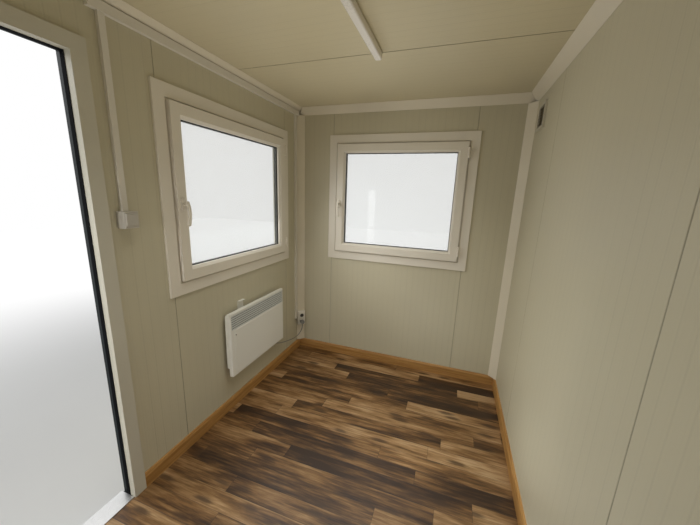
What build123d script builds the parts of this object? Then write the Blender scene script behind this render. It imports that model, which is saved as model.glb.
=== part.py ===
from build123d import *
import math
import os

# One-room portable site cabin: steel base and roof frames, sandwich panel walls, one outside door,
# two windows, a wall convector, one lamp batten and surface wiring.
# Millimetres, +Z up. X runs along the cabin, the door side faces -Y, the windowed end is at -X.
# The origin is the middle of the underside of the base frame.

# Overall size, and what stands between the outer frame face and the room
CABIN_LENGTH = 3000.0
CABIN_WIDTH = 2000.0
WALL_THICKNESS = 60.0
PANEL_SETBACK = 15.0          # frame face to the outer skin of the wall panels
ROOM_HEIGHT = 2255.0
PANEL_MODULE = 1150.0         # cover width of one wall or roof panel
PANEL_GAP = 5.0               # open joint between two panels
LINTEL_REST = 40.0            # least width of the last panel over the doorway
TONGUE_THICKNESS = 18.0
TONGUE_LENGTH = 14.0
TONGUE_CLEARANCE = 1.5

# Base frame and floor
BASE_HEIGHT = 120.0
TUBE_WALL = 4.0
JOIST_HEIGHT = 90.0
JOIST_FLANGE = 40.0
JOIST_STEEL = 3.0
JOIST_COUNT = 7
FLOOR_BOARD = 22.0
LAMINATE = 8.0
UNDERSHEET = 1.5
UNDERSHEET_LIFT = 6.0         # underside of the joists to the underside sheet
MITRE_GAP = 0.5

# Posts, roof frame and roof
POST_LEG = 150.0
POST_STEEL = 3.0
POST_HEM = 22.0               # folded edge of the post behind its leg
FASCIA_DROP = 30.0            # fascia edge below the ceiling line
FASCIA_HEIGHT = 178.0
FASCIA_STEEL = 3.0
FASCIA_TOP = 62.0             # width of the fascia's top flange
CEILING_THICKNESS = 60.0
DECK_SHEET = 1.2
DECK_RIB = 20.0
DECK_PITCH = 190.0
DECK_CROWN = 30.0
DECK_WEB = 18.0
DECK_FALL = 34.0              # drop of the roof sheet from front to back
DECK_LOW = 14.0               # purlin height at the low side
GUTTER_WIDTH = 90.0
PURLIN_WIDTH = 40.0

# Room trims
COVE_LEG = 55.0
COVE_SHEET = 2.5
FRONT_COVE_DROP = 27.0        # the cove over the cable trunking is shallower
SKIRTING_HEIGHT = 80.0
SKIRTING_THICKNESS = 15.0

# How the width that whole panels leave over is shared out, starting at the left end wall or the
# front wall: before the first joint, and on the front wall also between window and door
FRONT_SHARE = 0.3286
PIER_SHARE = 0.3922
END_SHARE = 0.4786
BACK_SHARE = 0.3535
CEILING_SHARE = 0.5088

# Windows: both alike, each as wide as one panel
WINDOW_OPEN_HEIGHT = 1012.0
WINDOW_HEAD_DROP = 255.0      # head of the opening below the ceiling
WINDOW_PLAY = 5.0
FRAME_DEPTH = 65.0
FRAME_PROUD = 5.0             # frame beyond the outer skin
FRAME_LIP = 68.0
FRAME_REBATE = 45.0
REBATE_DEPTH = 25.0
SASH_OVERLAP_INSET = 42.0
SASH_FACE = 72.0
SASH_PROUD = 28.0
SASH_DEPTH = 42.0
SASH_PLAY = 4.0
GLASS_THICKNESS = 24.0
GLASS_BITE = 12.0
GLASS_PLAY = 3.0
BEAD_BEVEL = 16.0
CASING_OVERLAP = 30.0
CASING_REVEAL = 10.0          # strip of frame left open between casing and sash
CASING_THICKNESS = 12.0
OUTER_TRIM_LIP = 30.0
OUTER_TRIM_SHEET = 2.0
SILL_REACH = 35.0
HANDLE_LENGTH = 118.0
HANDLE_ABOVE = 12.0           # top of the lever above its spindle
HANDLE_DROP = 40.0            # spindle below the middle of the sash
WINDOW_HINGE_LENGTH = 80.0

# Door
DOOR_CLEAR_WIDTH = 850.0
DOOR_HEAD_DROP = 243.0        # head of the clear opening below the ceiling
DOOR_LINING = 40.0
DOOR_LINING_DEPTH = 20.0
DOOR_CASING_WIDTH = 58.0
DOOR_CASING_THICKNESS = 14.0
DOOR_SEAL_DEPTH = 22.0
DOOR_SEAL_PROUD = 2.0
DOOR_RECESS = 6.0
DOOR_FLANGE = 30.0
DOOR_GAP = 5.0
LEAF_THICKNESS = 48.0
LEAF_OVERLAP = 15.0
LEAF_EDGE = 15.0
THRESHOLD_PLATE = 4.0
THRESHOLD_NOSE = 30.0
OPEN_ANGLE = 100.0            # the leaf is modelled standing open
HINGE_RADIUS = 8.0
KNUCKLE_PLAY = 0.4            # the fixed half is this much slimmer, clear of the leaf's edge
PIN_RADIUS = 5.0
PIN_PLAY = 0.1
HINGE_HALF = 45.0
HINGE_PLATE = 3.0
HINGE_LEAF = 34.0
HINGE_HEIGHTS = (250.0, 1000.0, 1750.0)
LEVER_HEIGHT = 1050.0
LEVER_SETBACK = 60.0
LEVER_LENGTH = 125.0
LEVER_PLATE_ABOVE = 70.0
LEVER_PLATE_BELOW = 150.0

# Surface wiring
TRUNK_HEIGHT = 38.0
TRUNK_DEPTH = 20.0
DROP_WIDTH = 26.0
DROP_DEPTH = 16.0
TRUNK_TO_DOOR = 77.0          # end of the trunking before the door's clear opening
SWITCH_TO_DOOR = 125.0        # middle of the switch before the door's clear opening
SWITCH_WIDTH = 64.0
SWITCH_HEIGHT = 74.0
SWITCH_DEPTH = 50.0
SWITCH_EDGE = 5.0
SWITCH_BOTTOM = 1353.0
SOCKET_DROP = 86.0
SOCKET_WIDTH = 72.0           # the socket sits on the slanted corner trim
SOCKET_SHIFT = 3.0
SOCKET_HEIGHT = 136.0
SOCKET_BOTTOM = 255.0
SOCKET_DEPTH = 40.0
OUTLET_SPACING = 62.0
LOWER_OUTLET = 36.0
PLUG_RADIUS = 19.0
PLUG_REACH = 36.0
PLUG_SLEEVE = 22.0            # from the socket's face to the line of the plug's flex sleeve

# Convector on the front wall
HEATER_OFFSET = 165.0         # after the first joint of the front wall
HEATER_WIDTH = 650.0
HEATER_SHARE = 0.5195         # of the free height between skirting and window, left below it
HEATER_HEIGHT = 453.0
HEATER_STANDOFF = 22.0
HEATER_DEPTH = 43.0
HEATER_LIP = 26.0             # depth of the front part that reaches lowest
HEATER_STEP = 58.0
HEATER_EDGE = 8.0             # radius of the upright front edges
HEATER_SHEET = 2.0
GRILLE_HEIGHT = 104.0
GRILLE_DROP = 12.0
GRILLE_SIDE = 10.0
GRILLE_SLATS = 12
GRILLE_STAYS = 7
GRILLE_BAR = 3.0
BRACKET_TAB = 62.0
BRACKET_RISE = 40.0
BRACKET_INSET = 110.0
BRACKET_LOW = 150.0
BRACKET_HIGH = 330.0
BRACKET_TAB_INSET = 152.0     # tab before the heater's far end
INTAKE_INSET = 120.0
FLEX_DIAMETER = 7.0

# Lamp batten and vent
LAMP_LENGTH = 1210.0
LAMP_ALONG = 0.5175           # middle of the lamp as a share of the room's length
LAMP_ACROSS = 0.5054          # and of its width
LAMP_WIDTH = 38.0
LAMP_BASE = 13.0
LAMP_HEIGHT = 40.0
LAMP_CAP = 10.0
LAMP_SPINE_INSET = 4.0
LAMP_CAP_RISE = 3.0
LAMP_CAP_BEVEL = 6.0
LAMP_ROUND = 8.0
VENT_CENTRE = 232.0
VENT_DROP = 196.0
VENT_SIZE = 158.0
VENT_RIM = 17.0
VENT_DEPTH = 12.0
VENT_SLATS = 7

# What follows from the sizes above
HALF_LENGTH = CABIN_LENGTH / 2
HALF_WIDTH = CABIN_WIDTH / 2
WALL_BUILD = PANEL_SETBACK + WALL_THICKNESS
ROOM_LENGTH = CABIN_LENGTH - 2 * WALL_BUILD
ROOM_WIDTH = CABIN_WIDTH - 2 * WALL_BUILD
ROOM_X = ROOM_LENGTH / 2
ROOM_Y = ROOM_WIDTH / 2
SKIN_X = ROOM_X + WALL_THICKNESS
SKIN_Y = ROOM_Y + WALL_THICKNESS
FLOOR = BASE_HEIGHT
CEILING = FLOOR + ROOM_HEIGHT
CEILING_TOP = CEILING + CEILING_THICKNESS
FASCIA_BOTTOM = CEILING - FASCIA_DROP
FASCIA_LEVEL = FASCIA_BOTTOM + FASCIA_HEIGHT
WINDOW_HEAD = ROOM_HEIGHT - WINDOW_HEAD_DROP
WINDOW_SILL = WINDOW_HEAD - WINDOW_OPEN_HEIGHT
WINDOW_MIDDLE = WINDOW_SILL + WINDOW_OPEN_HEIGHT / 2
DOOR_CLEAR_HEIGHT = ROOM_HEIGHT - DOOR_HEAD_DROP

# Joints between panels, and what stands beside them, from the left end wall or the front wall
FRONT_SPARE = ROOM_LENGTH - PANEL_MODULE - DOOR_CLEAR_WIDTH - 2 * DOOR_LINING
FRONT_JOINT = FRONT_SHARE * FRONT_SPARE
DOOR_NEAR = FRONT_JOINT + PANEL_MODULE + PIER_SHARE * FRONT_SPARE + DOOR_LINING
END_JOINT = END_SHARE * (ROOM_WIDTH - PANEL_MODULE)
BACK_JOINT = BACK_SHARE * (ROOM_LENGTH - PANEL_MODULE)
CEILING_JOINT = CEILING_SHARE * (ROOM_LENGTH - PANEL_MODULE)
HEATER_NEAR = FRONT_JOINT + HEATER_OFFSET
HEATER_ROOM = WINDOW_SILL - CASING_OVERLAP - SKIRTING_HEIGHT - HEATER_HEIGHT - BRACKET_RISE
HEATER_BOTTOM = SKIRTING_HEIGHT + HEATER_SHARE * HEATER_ROOM
SWITCH_DROP = DOOR_NEAR - SWITCH_TO_DOOR
TRUNK_END = DOOR_NEAR - TRUNK_TO_DOOR
LAMP_START = LAMP_ALONG * ROOM_LENGTH - LAMP_LENGTH / 2
LAMP_CENTRE = LAMP_ACROSS * ROOM_WIDTH
VENT_HEIGHT = ROOM_HEIGHT - VENT_DROP


def along(u):
    """X of a distance from the left end wall's inner face."""
    return u - ROOM_X


def across(v):
    """Y of a distance from the front wall's inner face."""
    return v - ROOM_Y


def up(w):
    """Z of a height above the finished floor."""
    return w + FLOOR


def block(x0, x1, y0, y1, z0, z1):
    """Plain cuboid between two corners."""
    centre = Location(((x0 + x1) / 2, (y0 + y1) / 2, (z0 + z1) / 2))
    return centre * Box(x1 - x0, y1 - y0, z1 - z0)


def prism_x(points, x0, x1):
    """Section in Y and Z, carried along X."""
    wire = Polyline([(x0, y, z) for y, z in points], close=True)
    return extrude(Face(Wire(wire.edges())), amount=x1 - x0, dir=(1, 0, 0))


def prism_y(points, y0, y1):
    """Section in X and Z, carried along Y."""
    wire = Polyline([(x, y0, z) for x, z in points], close=True)
    return extrude(Face(Wire(wire.edges())), amount=y1 - y0, dir=(0, 1, 0))


def prism_z(points, z0, z1):
    """Section in X and Y, carried up Z."""
    wire = Polyline([(x, y, z0) for x, y in points], close=True)
    return extrude(Face(Wire(wire.edges())), amount=z1 - z0, dir=(0, 0, 1))


def turned(shape, angle):
    """Copy of a shape turned about the Z axis."""
    return shape.rotate(Axis.Z, angle)


def mitred(section, length, depth, z0, z1):
    """Bar along X at the side y=0 of a rectangle, its section in (inward, z), both ends mitred."""
    half = length / 2 - MITRE_GAP
    bar = prism_x(section, -length / 2, length / 2)
    plan = [(-half, 0), (half, 0), (half - depth, depth), (-half + depth, depth)]
    return bar & prism_z(plan, z0, z1)


def four_sides(section_of, length, width, depth, z0, z1):
    """Four mitred bars just inside a rectangle, in the order front, right, back, left."""
    bars = []
    for side, angle in enumerate((0, 90, 180, 270)):
        run, reach = (length, width) if side % 2 == 0 else (width, length)
        bar = mitred(section_of(side), run, depth, z0, z1)
        bars.append(turned(Location((0, -reach / 2, 0)) * bar, angle))
    return bars


def hollow_tube(depth, z0, z1, wall):
    """Section of a rectangular tube as an outer and an inner loop."""
    outer = [(0, z0), (depth, z0), (depth, z1), (0, z1)]
    inner = [(wall, z0 + wall), (depth - wall, z0 + wall), (depth - wall, z1 - wall), (wall, z1 - wall)]
    return outer, inner


def ring(width, height, inner_width, inner_height, d0, d1):
    """Upright rectangular ring centred on the origin, between two depths."""
    outer = block(-width / 2, width / 2, d0, d1, -height / 2, height / 2)
    inner = block(-inner_width / 2, inner_width / 2, d0 - 1, d1 + 1, -inner_height / 2, inner_height / 2)
    return outer - inner


def wall_panel(x0, x1, y0, y1, z0, z1, tongues=(), grooves=()):
    """Sandwich panel along X; tongues and grooves name the ends, -1 or +1, that carry them."""
    panel = block(x0, x1, y0, y1, z0, z1)
    middle = (y0 + y1) / 2
    deep = TONGUE_THICKNESS / 2 + TONGUE_CLEARANCE
    reach = PANEL_GAP + TONGUE_LENGTH
    thick = TONGUE_THICKNESS / 2
    for end in grooves:
        edge = x0 if end < 0 else x1
        panel -= block(edge - reach, edge + reach, middle - deep, middle + deep, z0 - 1, z1 + 1)
    for end in tongues:
        edge = x0 if end < 0 else x1
        tip = edge + end * reach
        panel += block(min(edge, tip), max(edge, tip), middle - thick, middle + thick, z0, z1)
    return panel


def base_frame():
    """Four mitred rectangular tubes on the ground."""
    outer, inner = hollow_tube(WALL_BUILD, 0, BASE_HEIGHT, TUBE_WALL)
    solid = four_sides(lambda side: outer, CABIN_LENGTH, CABIN_WIDTH, WALL_BUILD, 0, BASE_HEIGHT)
    length, width = CABIN_LENGTH, CABIN_WIDTH
    bars = []
    for side, bar in enumerate(solid):
        run, reach = (length, width) if side % 2 == 0 else (width, length)
        core = Location((0, -reach / 2, 0)) * prism_x(inner, -run / 2, run / 2)
        bars.append(bar - turned(core, 90 * side))
    return Compound(bars)


def joist_positions():
    """X of each joist, evenly spread with one under each end of the floor board."""
    first = -ROOM_X + JOIST_FLANGE / 2
    step = 2 * -first / (JOIST_COUNT - 1)
    return [first + i * step for i in range(JOIST_COUNT)]


def floor_joists():
    """Channels across the base frame, each open to +X."""
    half, steel = JOIST_FLANGE / 2, JOIST_STEEL
    section = [(-half, 0), (half, 0), (half, steel), (-half + steel, steel),
               (-half + steel, JOIST_HEIGHT - steel), (half, JOIST_HEIGHT - steel),
               (half, JOIST_HEIGHT), (-half, JOIST_HEIGHT)]
    channel = prism_y(section, -ROOM_Y, ROOM_Y)
    return Compound([Location((x, 0, 0)) * channel for x in joist_positions()])


def floor_underside():
    """Sheets between the joists, resting on their lower flanges."""
    xs = joist_positions()
    low = JOIST_STEEL
    sheets = []
    for left, right in zip(xs[:-1], xs[1:]):
        x0 = left - JOIST_FLANGE / 2 + JOIST_STEEL
        x1 = right - JOIST_FLANGE / 2
        sheets.append(block(x0, x1 - MITRE_GAP, -ROOM_Y, ROOM_Y, low, low + UNDERSHEET))
    return Compound(sheets)


def floor_board():
    return block(-ROOM_X, ROOM_X, -ROOM_Y, ROOM_Y, JOIST_HEIGHT, JOIST_HEIGHT + FLOOR_BOARD)


def laminate_floor():
    """Laid floor, up to the walls under the skirting."""
    top = JOIST_HEIGHT + FLOOR_BOARD
    return block(-ROOM_X, ROOM_X, -ROOM_Y, ROOM_Y, top, top + LAMINATE)


def corner_posts():
    """Folded steel angles with hems that close onto the wall panels."""
    leg, steel = POST_LEG, POST_STEEL
    inner = PANEL_SETBACK
    section = [(0, 0), (leg, 0), (leg, inner), (leg - POST_HEM, inner), (leg - POST_HEM, inner - steel),
               (leg - steel, inner - steel), (leg - steel, steel), (steel, steel),
               (steel, leg - steel), (inner - steel, leg - steel), (inner - steel, leg - POST_HEM),
               (inner, leg - POST_HEM), (inner, leg), (0, leg)]
    posts = []
    for sx, sy in ((-1, -1), (1, -1), (1, 1), (-1, 1)):
        points = [(sx * (HALF_LENGTH - x), sy * (HALF_WIDTH - y)) for x, y in section]
        posts.append(prism_z(points, BASE_HEIGHT, FASCIA_BOTTOM))
    return Compound(posts)


def roof_beams():
    """Folded fascia channels round the roof, open inwards, their lower lip on the panels."""
    s, z0, z1 = FASCIA_STEEL, FASCIA_BOTTOM, FASCIA_LEVEL
    section = [(0, z0), (PANEL_SETBACK, z0), (PANEL_SETBACK, z0 + s), (s, z0 + s), (s, z1 - s),
               (FASCIA_TOP - s, z1 - s), (FASCIA_TOP - s, z1 - 4 * s), (FASCIA_TOP, z1 - 4 * s),
               (FASCIA_TOP, z1), (0, z1)]
    return Compound(four_sides(lambda side: section, CABIN_LENGTH, CABIN_WIDTH, FASCIA_TOP, z0, z1))


def ceiling_panels():
    """Roof panels laid across the cabin, with tongue and groove edges."""
    joints = [along(CEILING_JOINT), along(CEILING_JOINT + PANEL_MODULE)]
    edges = [-SKIN_X] + joints + [SKIN_X]
    panels = []
    for i in range(len(edges) - 1):
        x0 = edges[i] + (PANEL_GAP / 2 if i else 0)
        x1 = edges[i + 1] - (PANEL_GAP / 2 if i < len(joints) else 0)
        panel = block(x0, x1, -SKIN_Y, SKIN_Y, CEILING, CEILING_TOP)
        middle = (CEILING + CEILING_TOP) / 2
        if i:
            deep = TONGUE_THICKNESS / 2 + TONGUE_CLEARANCE
            panel -= block(x0 - 1, x0 + TONGUE_LENGTH + PANEL_GAP, -SKIN_Y - 1, SKIN_Y + 1,
                           middle - deep, middle + deep)
        if i < len(joints):
            thick = TONGUE_THICKNESS / 2
            panel += block(x1, x1 + PANEL_GAP + TONGUE_LENGTH - TONGUE_CLEARANCE, -SKIN_Y, SKIN_Y,
                           middle - thick, middle + thick)
        panels.append(panel)
    return Compound(panels)


def deck_height(y):
    """Underside of the roof sheet's pans at a place across the cabin."""
    low_y = HALF_WIDTH - GUTTER_WIDTH
    run = low_y + HALF_WIDTH - FASCIA_STEEL
    return CEILING_TOP + DECK_LOW + DECK_FALL * (low_y - y) / run


def roof_purlins():
    """Three bearers on the ceiling panels, their tops to the fall of the roof sheet."""
    half = PURLIN_WIDTH / 2
    length = HALF_LENGTH - FASCIA_TOP
    low_y = HALF_WIDTH - GUTTER_WIDTH - PURLIN_WIDTH
    purlins = []
    for y in (-SKIN_Y + half, (-SKIN_Y + low_y) / 2, low_y):
        section = [(y - half, CEILING_TOP), (y + half, CEILING_TOP),
                   (y + half, deck_height(y + half)), (y - half, deck_height(y - half))]
        purlins.append(prism_x(section, -length, length))
    return Compound(purlins)


def roof_deck():
    """Ribbed roof sheet, falling to the gutter behind the back fascia."""
    half = HALF_LENGTH - FASCIA_STEEL - MITRE_GAP
    count = int((2 * half - DECK_CROWN) // DECK_PITCH)
    start = -count * DECK_PITCH / 2
    top = [(-half, 0)]
    for i in range(count + 1):
        x = start + i * DECK_PITCH
        top += [(x - DECK_CROWN / 2 - DECK_WEB, 0), (x - DECK_CROWN / 2, DECK_RIB),
                (x + DECK_CROWN / 2, DECK_RIB), (x + DECK_CROWN / 2 + DECK_WEB, 0)]
    top.append((half, 0))
    outline = top + [(x, z + DECK_SHEET) for x, z in reversed(top)]
    y0 = -HALF_WIDTH + FASCIA_STEEL + MITRE_GAP
    y1 = HALF_WIDTH - GUTTER_WIDTH
    slope = math.atan2(deck_height(y0) - deck_height(y1), y1 - y0)
    run = (y1 - y0) / math.cos(slope)
    sheet = prism_y(outline, 0, run).rotate(Axis.X, -math.degrees(slope))
    return Location((0, y0, deck_height(y0))) * sheet


def roof_gutter():
    """Folded box gutter behind the back fascia, standing on the ceiling panels."""
    y1 = SKIN_Y
    y0 = HALF_WIDTH - GUTTER_WIDTH - 12
    z0, s = CEILING_TOP, DECK_SHEET
    rim = deck_height(HALF_WIDTH - GUTTER_WIDTH) - 4
    section = [(y0, z0), (y1, z0), (y1, rim + 40), (y1 - s, rim + 40), (y1 - s, z0 + s), (y0 + s, z0 + s),
               (y0 + s, rim), (y0, rim)]
    half = HALF_LENGTH - FASCIA_TOP - 10
    tray = prism_x(section, -half, half)
    ends = [block(x, x + s, y0, y1, z0, rim) for x in (-half, half - s)]
    return tray + ends[0] + ends[1]


def wall_span(u0, u1, w0, w1, tongues=(), grooves=()):
    """Front wall panel between two distances along the room and two heights."""
    return wall_panel(along(u0), along(u1), -SKIN_Y, -ROOM_Y, up(w0), up(w1), tongues, grooves)


def front_wall():
    """Front wall panels, split beside and over the doorway and round the window."""
    near, far = FRONT_JOINT, FRONT_JOINT + PANEL_MODULE
    gap = PANEL_GAP / 2
    jamb0 = DOOR_NEAR - DOOR_LINING
    jamb1 = DOOR_NEAR + DOOR_CLEAR_WIDTH + DOOR_LINING
    head = DOOR_CLEAR_HEIGHT + DOOR_LINING
    corner = wall_span(-WALL_THICKNESS, near - gap, 0, ROOM_HEIGHT, grooves=(1,))
    under = wall_span(near + gap, far - gap, 0, WINDOW_SILL, tongues=(-1, 1))
    over = wall_span(near + gap, far - gap, WINDOW_HEAD, ROOM_HEIGHT, tongues=(-1, 1))
    last = min(far + PANEL_MODULE, jamb1 - LINTEL_REST)
    pier = wall_span(far + gap, jamb0, 0, ROOM_HEIGHT, grooves=(-1,))
    pier += wall_span(jamb0, last - gap, head, ROOM_HEIGHT, tongues=(1,))
    right = wall_span(jamb1, ROOM_LENGTH + WALL_THICKNESS, 0, ROOM_HEIGHT)
    right += wall_span(last + gap, jamb1, head, ROOM_HEIGHT, grooves=(-1,))
    return corner, Compound([under, over]), pier, right


def end_wall(side, window):
    """Panels of one end wall between the long walls; side is -1 or +1 along X."""
    a, b = END_JOINT, END_JOINT + PANEL_MODULE
    gap = PANEL_GAP / 2
    top = ROOM_HEIGHT

    def span(v0, v1, w0, w1, tongues=(), grooves=()):
        y0, y1 = (ROOM_X, SKIN_X)
        panel = wall_panel(across(v0), across(v1), y0, y1, up(w0), up(w1), tongues, grooves)
        return turned(panel, 90) if side < 0 else turned(panel.mirror(Plane.YZ), -90)

    if window:
        sides = [span(0, a - gap, 0, top, grooves=(1,)), span(b + gap, ROOM_WIDTH, 0, top, grooves=(-1,))]
        middle = [span(a + gap, b - gap, 0, WINDOW_SILL, tongues=(-1, 1)),
                  span(a + gap, b - gap, WINDOW_HEAD, top, tongues=(-1, 1))]
        return Compound(sides), Compound(middle)
    return Compound([span(0, a - gap, 0, top, tongues=(1,)),
                     span(a + gap, b - gap, 0, top, tongues=(1,), grooves=(-1,)),
                     span(b + gap, ROOM_WIDTH, 0, top, grooves=(-1,))])


def back_wall():
    """Three panels over the whole length, tongue and groove."""
    edges = [-WALL_THICKNESS, BACK_JOINT, BACK_JOINT + PANEL_MODULE, ROOM_LENGTH + WALL_THICKNESS]
    panels = []
    for i in range(3):
        x0 = along(edges[i]) + (PANEL_GAP / 2 if i else 0)
        x1 = along(edges[i + 1]) - (PANEL_GAP / 2 if i < 2 else 0)
        panels.append(wall_panel(x0, x1, ROOM_Y, SKIN_Y, FLOOR, CEILING,
                                 tongues=(1,) if i < 2 else (), grooves=(-1,) if i else ()))
    return Compound(panels)


def cove_section(drop, top):
    """Slanted trim between wall and ceiling; drop is its leg down the wall."""
    s = COVE_SHEET
    return [(0, top - drop), (s, top - drop), (COVE_LEG, top - s), (COVE_LEG, top),
            (COVE_LEG - 1.5 * s, top), (0, top - drop + 1.5 * s)]


def ceiling_trims():
    """Mitred coves under the ceiling; the front one sits on top of the cable trunking."""
    def section(side):
        return cove_section(FRONT_COVE_DROP if side == 0 else COVE_LEG, CEILING)
    return Compound(four_sides(section, ROOM_LENGTH, ROOM_WIDTH, COVE_LEG, CEILING - COVE_LEG, CEILING))


def corner_trims():
    """Slanted upright trims in the four corners, between skirting and ceiling cove."""
    a, s = COVE_LEG, COVE_SHEET
    section = [(0, a), (0, a - 1.5 * s), (a - 1.5 * s, 0), (a, 0), (a, s), (s, a)]
    z0 = up(SKIRTING_HEIGHT)
    z1 = CEILING - COVE_LEG - MITRE_GAP
    trims = []
    for sx, sy in ((-1, -1), (1, -1), (1, 1), (-1, 1)):
        points = [(sx * (ROOM_X - x), sy * (ROOM_Y - y)) for x, y in section]
        trims.append(prism_z(points, z0, z1))
    return Compound(trims)


def skirting_boards():
    """Skirting round the room with mitred corners, broken by the doorway."""
    t, h = SKIRTING_THICKNESS, SKIRTING_HEIGHT
    section = [(0, FLOOR), (t, FLOOR), (t, FLOOR + h - t), (t * 0.6, FLOOR + h), (0, FLOOR + h)]
    front, right, back, left = four_sides(lambda side: section, ROOM_LENGTH, ROOM_WIDTH, t,
                                          FLOOR, FLOOR + h)
    cut0 = along(DOOR_NEAR - DOOR_CASING_WIDTH)
    cut1 = along(DOOR_NEAR + DOOR_CLEAR_WIDTH + DOOR_CASING_WIDTH)
    front -= block(cut0, cut1, -ROOM_Y - 1, -ROOM_Y + t + 1, FLOOR - 1, FLOOR + h + 1)
    return Compound(front.solids() + [right, back, left])


# Windows are built at the origin: X along the wall, Y into the room, Z from the middle of the opening
FRAME_WIDTH = PANEL_MODULE - 2 * WINDOW_PLAY
FRAME_HEIGHT = WINDOW_OPEN_HEIGHT - 2 * WINDOW_PLAY
SASH_WIDTH = FRAME_WIDTH - 2 * SASH_OVERLAP_INSET
SASH_HEIGHT = FRAME_HEIGHT - 2 * SASH_OVERLAP_INSET
PANE_WIDTH = SASH_WIDTH - 2 * SASH_FACE
PANE_HEIGHT = SASH_HEIGHT - 2 * SASH_FACE


def window_frame():
    """Fixed frame with the rebate that the sash closes into."""
    lip = 2 * FRAME_LIP
    step = 2 * FRAME_REBATE
    outer = ring(FRAME_WIDTH, FRAME_HEIGHT, FRAME_WIDTH - lip, FRAME_HEIGHT - lip, -FRAME_DEPTH, -REBATE_DEPTH)
    inner = ring(FRAME_WIDTH, FRAME_HEIGHT, FRAME_WIDTH - step, FRAME_HEIGHT - step, -REBATE_DEPTH, 0)
    return outer + inner


def window_sash():
    """Opening sash: overlap on the frame, body in the rebate, glazing groove and bevelled bead."""
    play = 2 * (FRAME_REBATE + SASH_PLAY)
    body_back = -REBATE_DEPTH + SASH_PLAY / 2
    leaf = ring(SASH_WIDTH, SASH_HEIGHT, PANE_WIDTH, PANE_HEIGHT, 0, SASH_PROUD)
    body = ring(FRAME_WIDTH - play, FRAME_HEIGHT - play, PANE_WIDTH, PANE_HEIGHT, body_back, 0)
    nose = ring(FRAME_WIDTH - 2 * FRAME_LIP - SASH_PLAY, FRAME_HEIGHT - 2 * FRAME_LIP - SASH_PLAY,
                PANE_WIDTH, PANE_HEIGHT, -SASH_DEPTH, body_back)
    sash = leaf + body + nose
    groove = block(-PANE_WIDTH / 2 - GLASS_BITE, PANE_WIDTH / 2 + GLASS_BITE, glass_back(),
                   glass_back() + GLASS_THICKNESS, -PANE_HEIGHT / 2 - GLASS_BITE, PANE_HEIGHT / 2 + GLASS_BITE)
    sash -= groove
    rim = [e for e in sash.edges() if abs(e.center().Y - SASH_PROUD) < 0.01
           and abs(e.center().X) < PANE_WIDTH / 2 + 1 and abs(e.center().Z) < PANE_HEIGHT / 2 + 1]
    return chamfer(rim, BEAD_BEVEL)


def glass_back():
    """Depth of the outer face of the sealed unit."""
    return -SASH_DEPTH + 14


def window_glass():
    half_w = PANE_WIDTH / 2 + GLASS_BITE - GLASS_PLAY
    half_h = PANE_HEIGHT / 2 + GLASS_BITE - GLASS_PLAY
    return block(-half_w, half_w, glass_back(), glass_back() + GLASS_THICKNESS, -half_h, half_h)


def window_casing():
    """Flat inside casing over the joint between frame and panels."""
    width = PANEL_MODULE + 2 * CASING_OVERLAP
    height = WINDOW_OPEN_HEIGHT + 2 * CASING_OVERLAP
    inner_w = SASH_WIDTH + 2 * CASING_REVEAL
    inner_h = SASH_HEIGHT + 2 * CASING_REVEAL
    casing = ring(width, height, inner_w, inner_h, 0, CASING_THICKNESS)
    rim = [e for e in casing.edges() if abs(e.center().Y - CASING_THICKNESS) < 0.01]
    return chamfer(rim, 2.0)


def window_outer_trim():
    """Outside cover strip round the frame, with a sloped sill below it."""
    skin = -WALL_THICKNESS
    face = -FRAME_DEPTH
    width = PANEL_MODULE + 2 * CASING_OVERLAP
    height = WINDOW_OPEN_HEIGHT + 2 * CASING_OVERLAP
    cover = ring(width, height, FRAME_WIDTH - 2 * OUTER_TRIM_LIP, FRAME_HEIGHT - 2 * OUTER_TRIM_LIP,
                 face - OUTER_TRIM_SHEET, face)
    edge = ring(width, height, FRAME_WIDTH, FRAME_HEIGHT, face, skin)
    base = -height / 2
    back = face - OUTER_TRIM_SHEET
    sill = [(back, base + 40), (back, base + 36), (back - SILL_REACH + 2, base + 26),
            (back - SILL_REACH + 2, base + 8), (back - SILL_REACH, base + 8), (back - SILL_REACH, base + 30)]
    return cover + edge + prism_x(sill, -width / 2, width / 2)


def window_handle():
    """Rose, neck and lever on the closing stile, the lever hanging down."""
    x = SASH_WIDTH / 2 - (SASH_FACE - BEAD_BEVEL) / 2
    z = -HANDLE_DROP
    face = SASH_PROUD
    rose = fillet(block(x - 14, x + 14, face, face + 11, z - 34, z + 34).edges().filter_by(Axis.Y), 10)
    neck = Location((x, face + 24, z), (90, 0, 0)) * Cylinder(9, 28)
    top = z + HANDLE_ABOVE
    lever = block(x - 10, x + 10, face + 30, face + 44, top - HANDLE_LENGTH, top)
    lever = fillet(lever.edges().filter_by(Axis.Y), 8)
    return rose + neck + lever


def window_hinges():
    """Two covered hinges on the other stile, in the strip between sash and casing."""
    x = -SASH_WIDTH / 2 - CASING_REVEAL / 2
    offset = SASH_HEIGHT / 2 - WINDOW_HINGE_LENGTH
    half = CASING_REVEAL / 2
    radius = 7.0
    hinges = []
    for z in (-offset, offset):
        z0, z1 = z - WINDOW_HINGE_LENGTH / 2, z + WINDOW_HINGE_LENGTH / 2
        root = block(x - half, x + half, 0, SASH_PROUD + radius, z0, z1)
        barrel = Location((x, SASH_PROUD + radius, z)) * Cylinder(radius, WINDOW_HINGE_LENGTH)
        hinges.append(root + barrel)
    return hinges


def in_front_wall(shape):
    """Seat a window piece in the front wall."""
    return Location((along(FRONT_JOINT + PANEL_MODULE / 2), -ROOM_Y, up(WINDOW_MIDDLE))) * shape


def in_left_wall(shape):
    """Seat a window piece in the left end wall, its closing stile towards the front."""
    place = Location((-ROOM_X, across(END_JOINT + PANEL_MODULE / 2), up(WINDOW_MIDDLE)))
    return place * turned(shape, -90)


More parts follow.
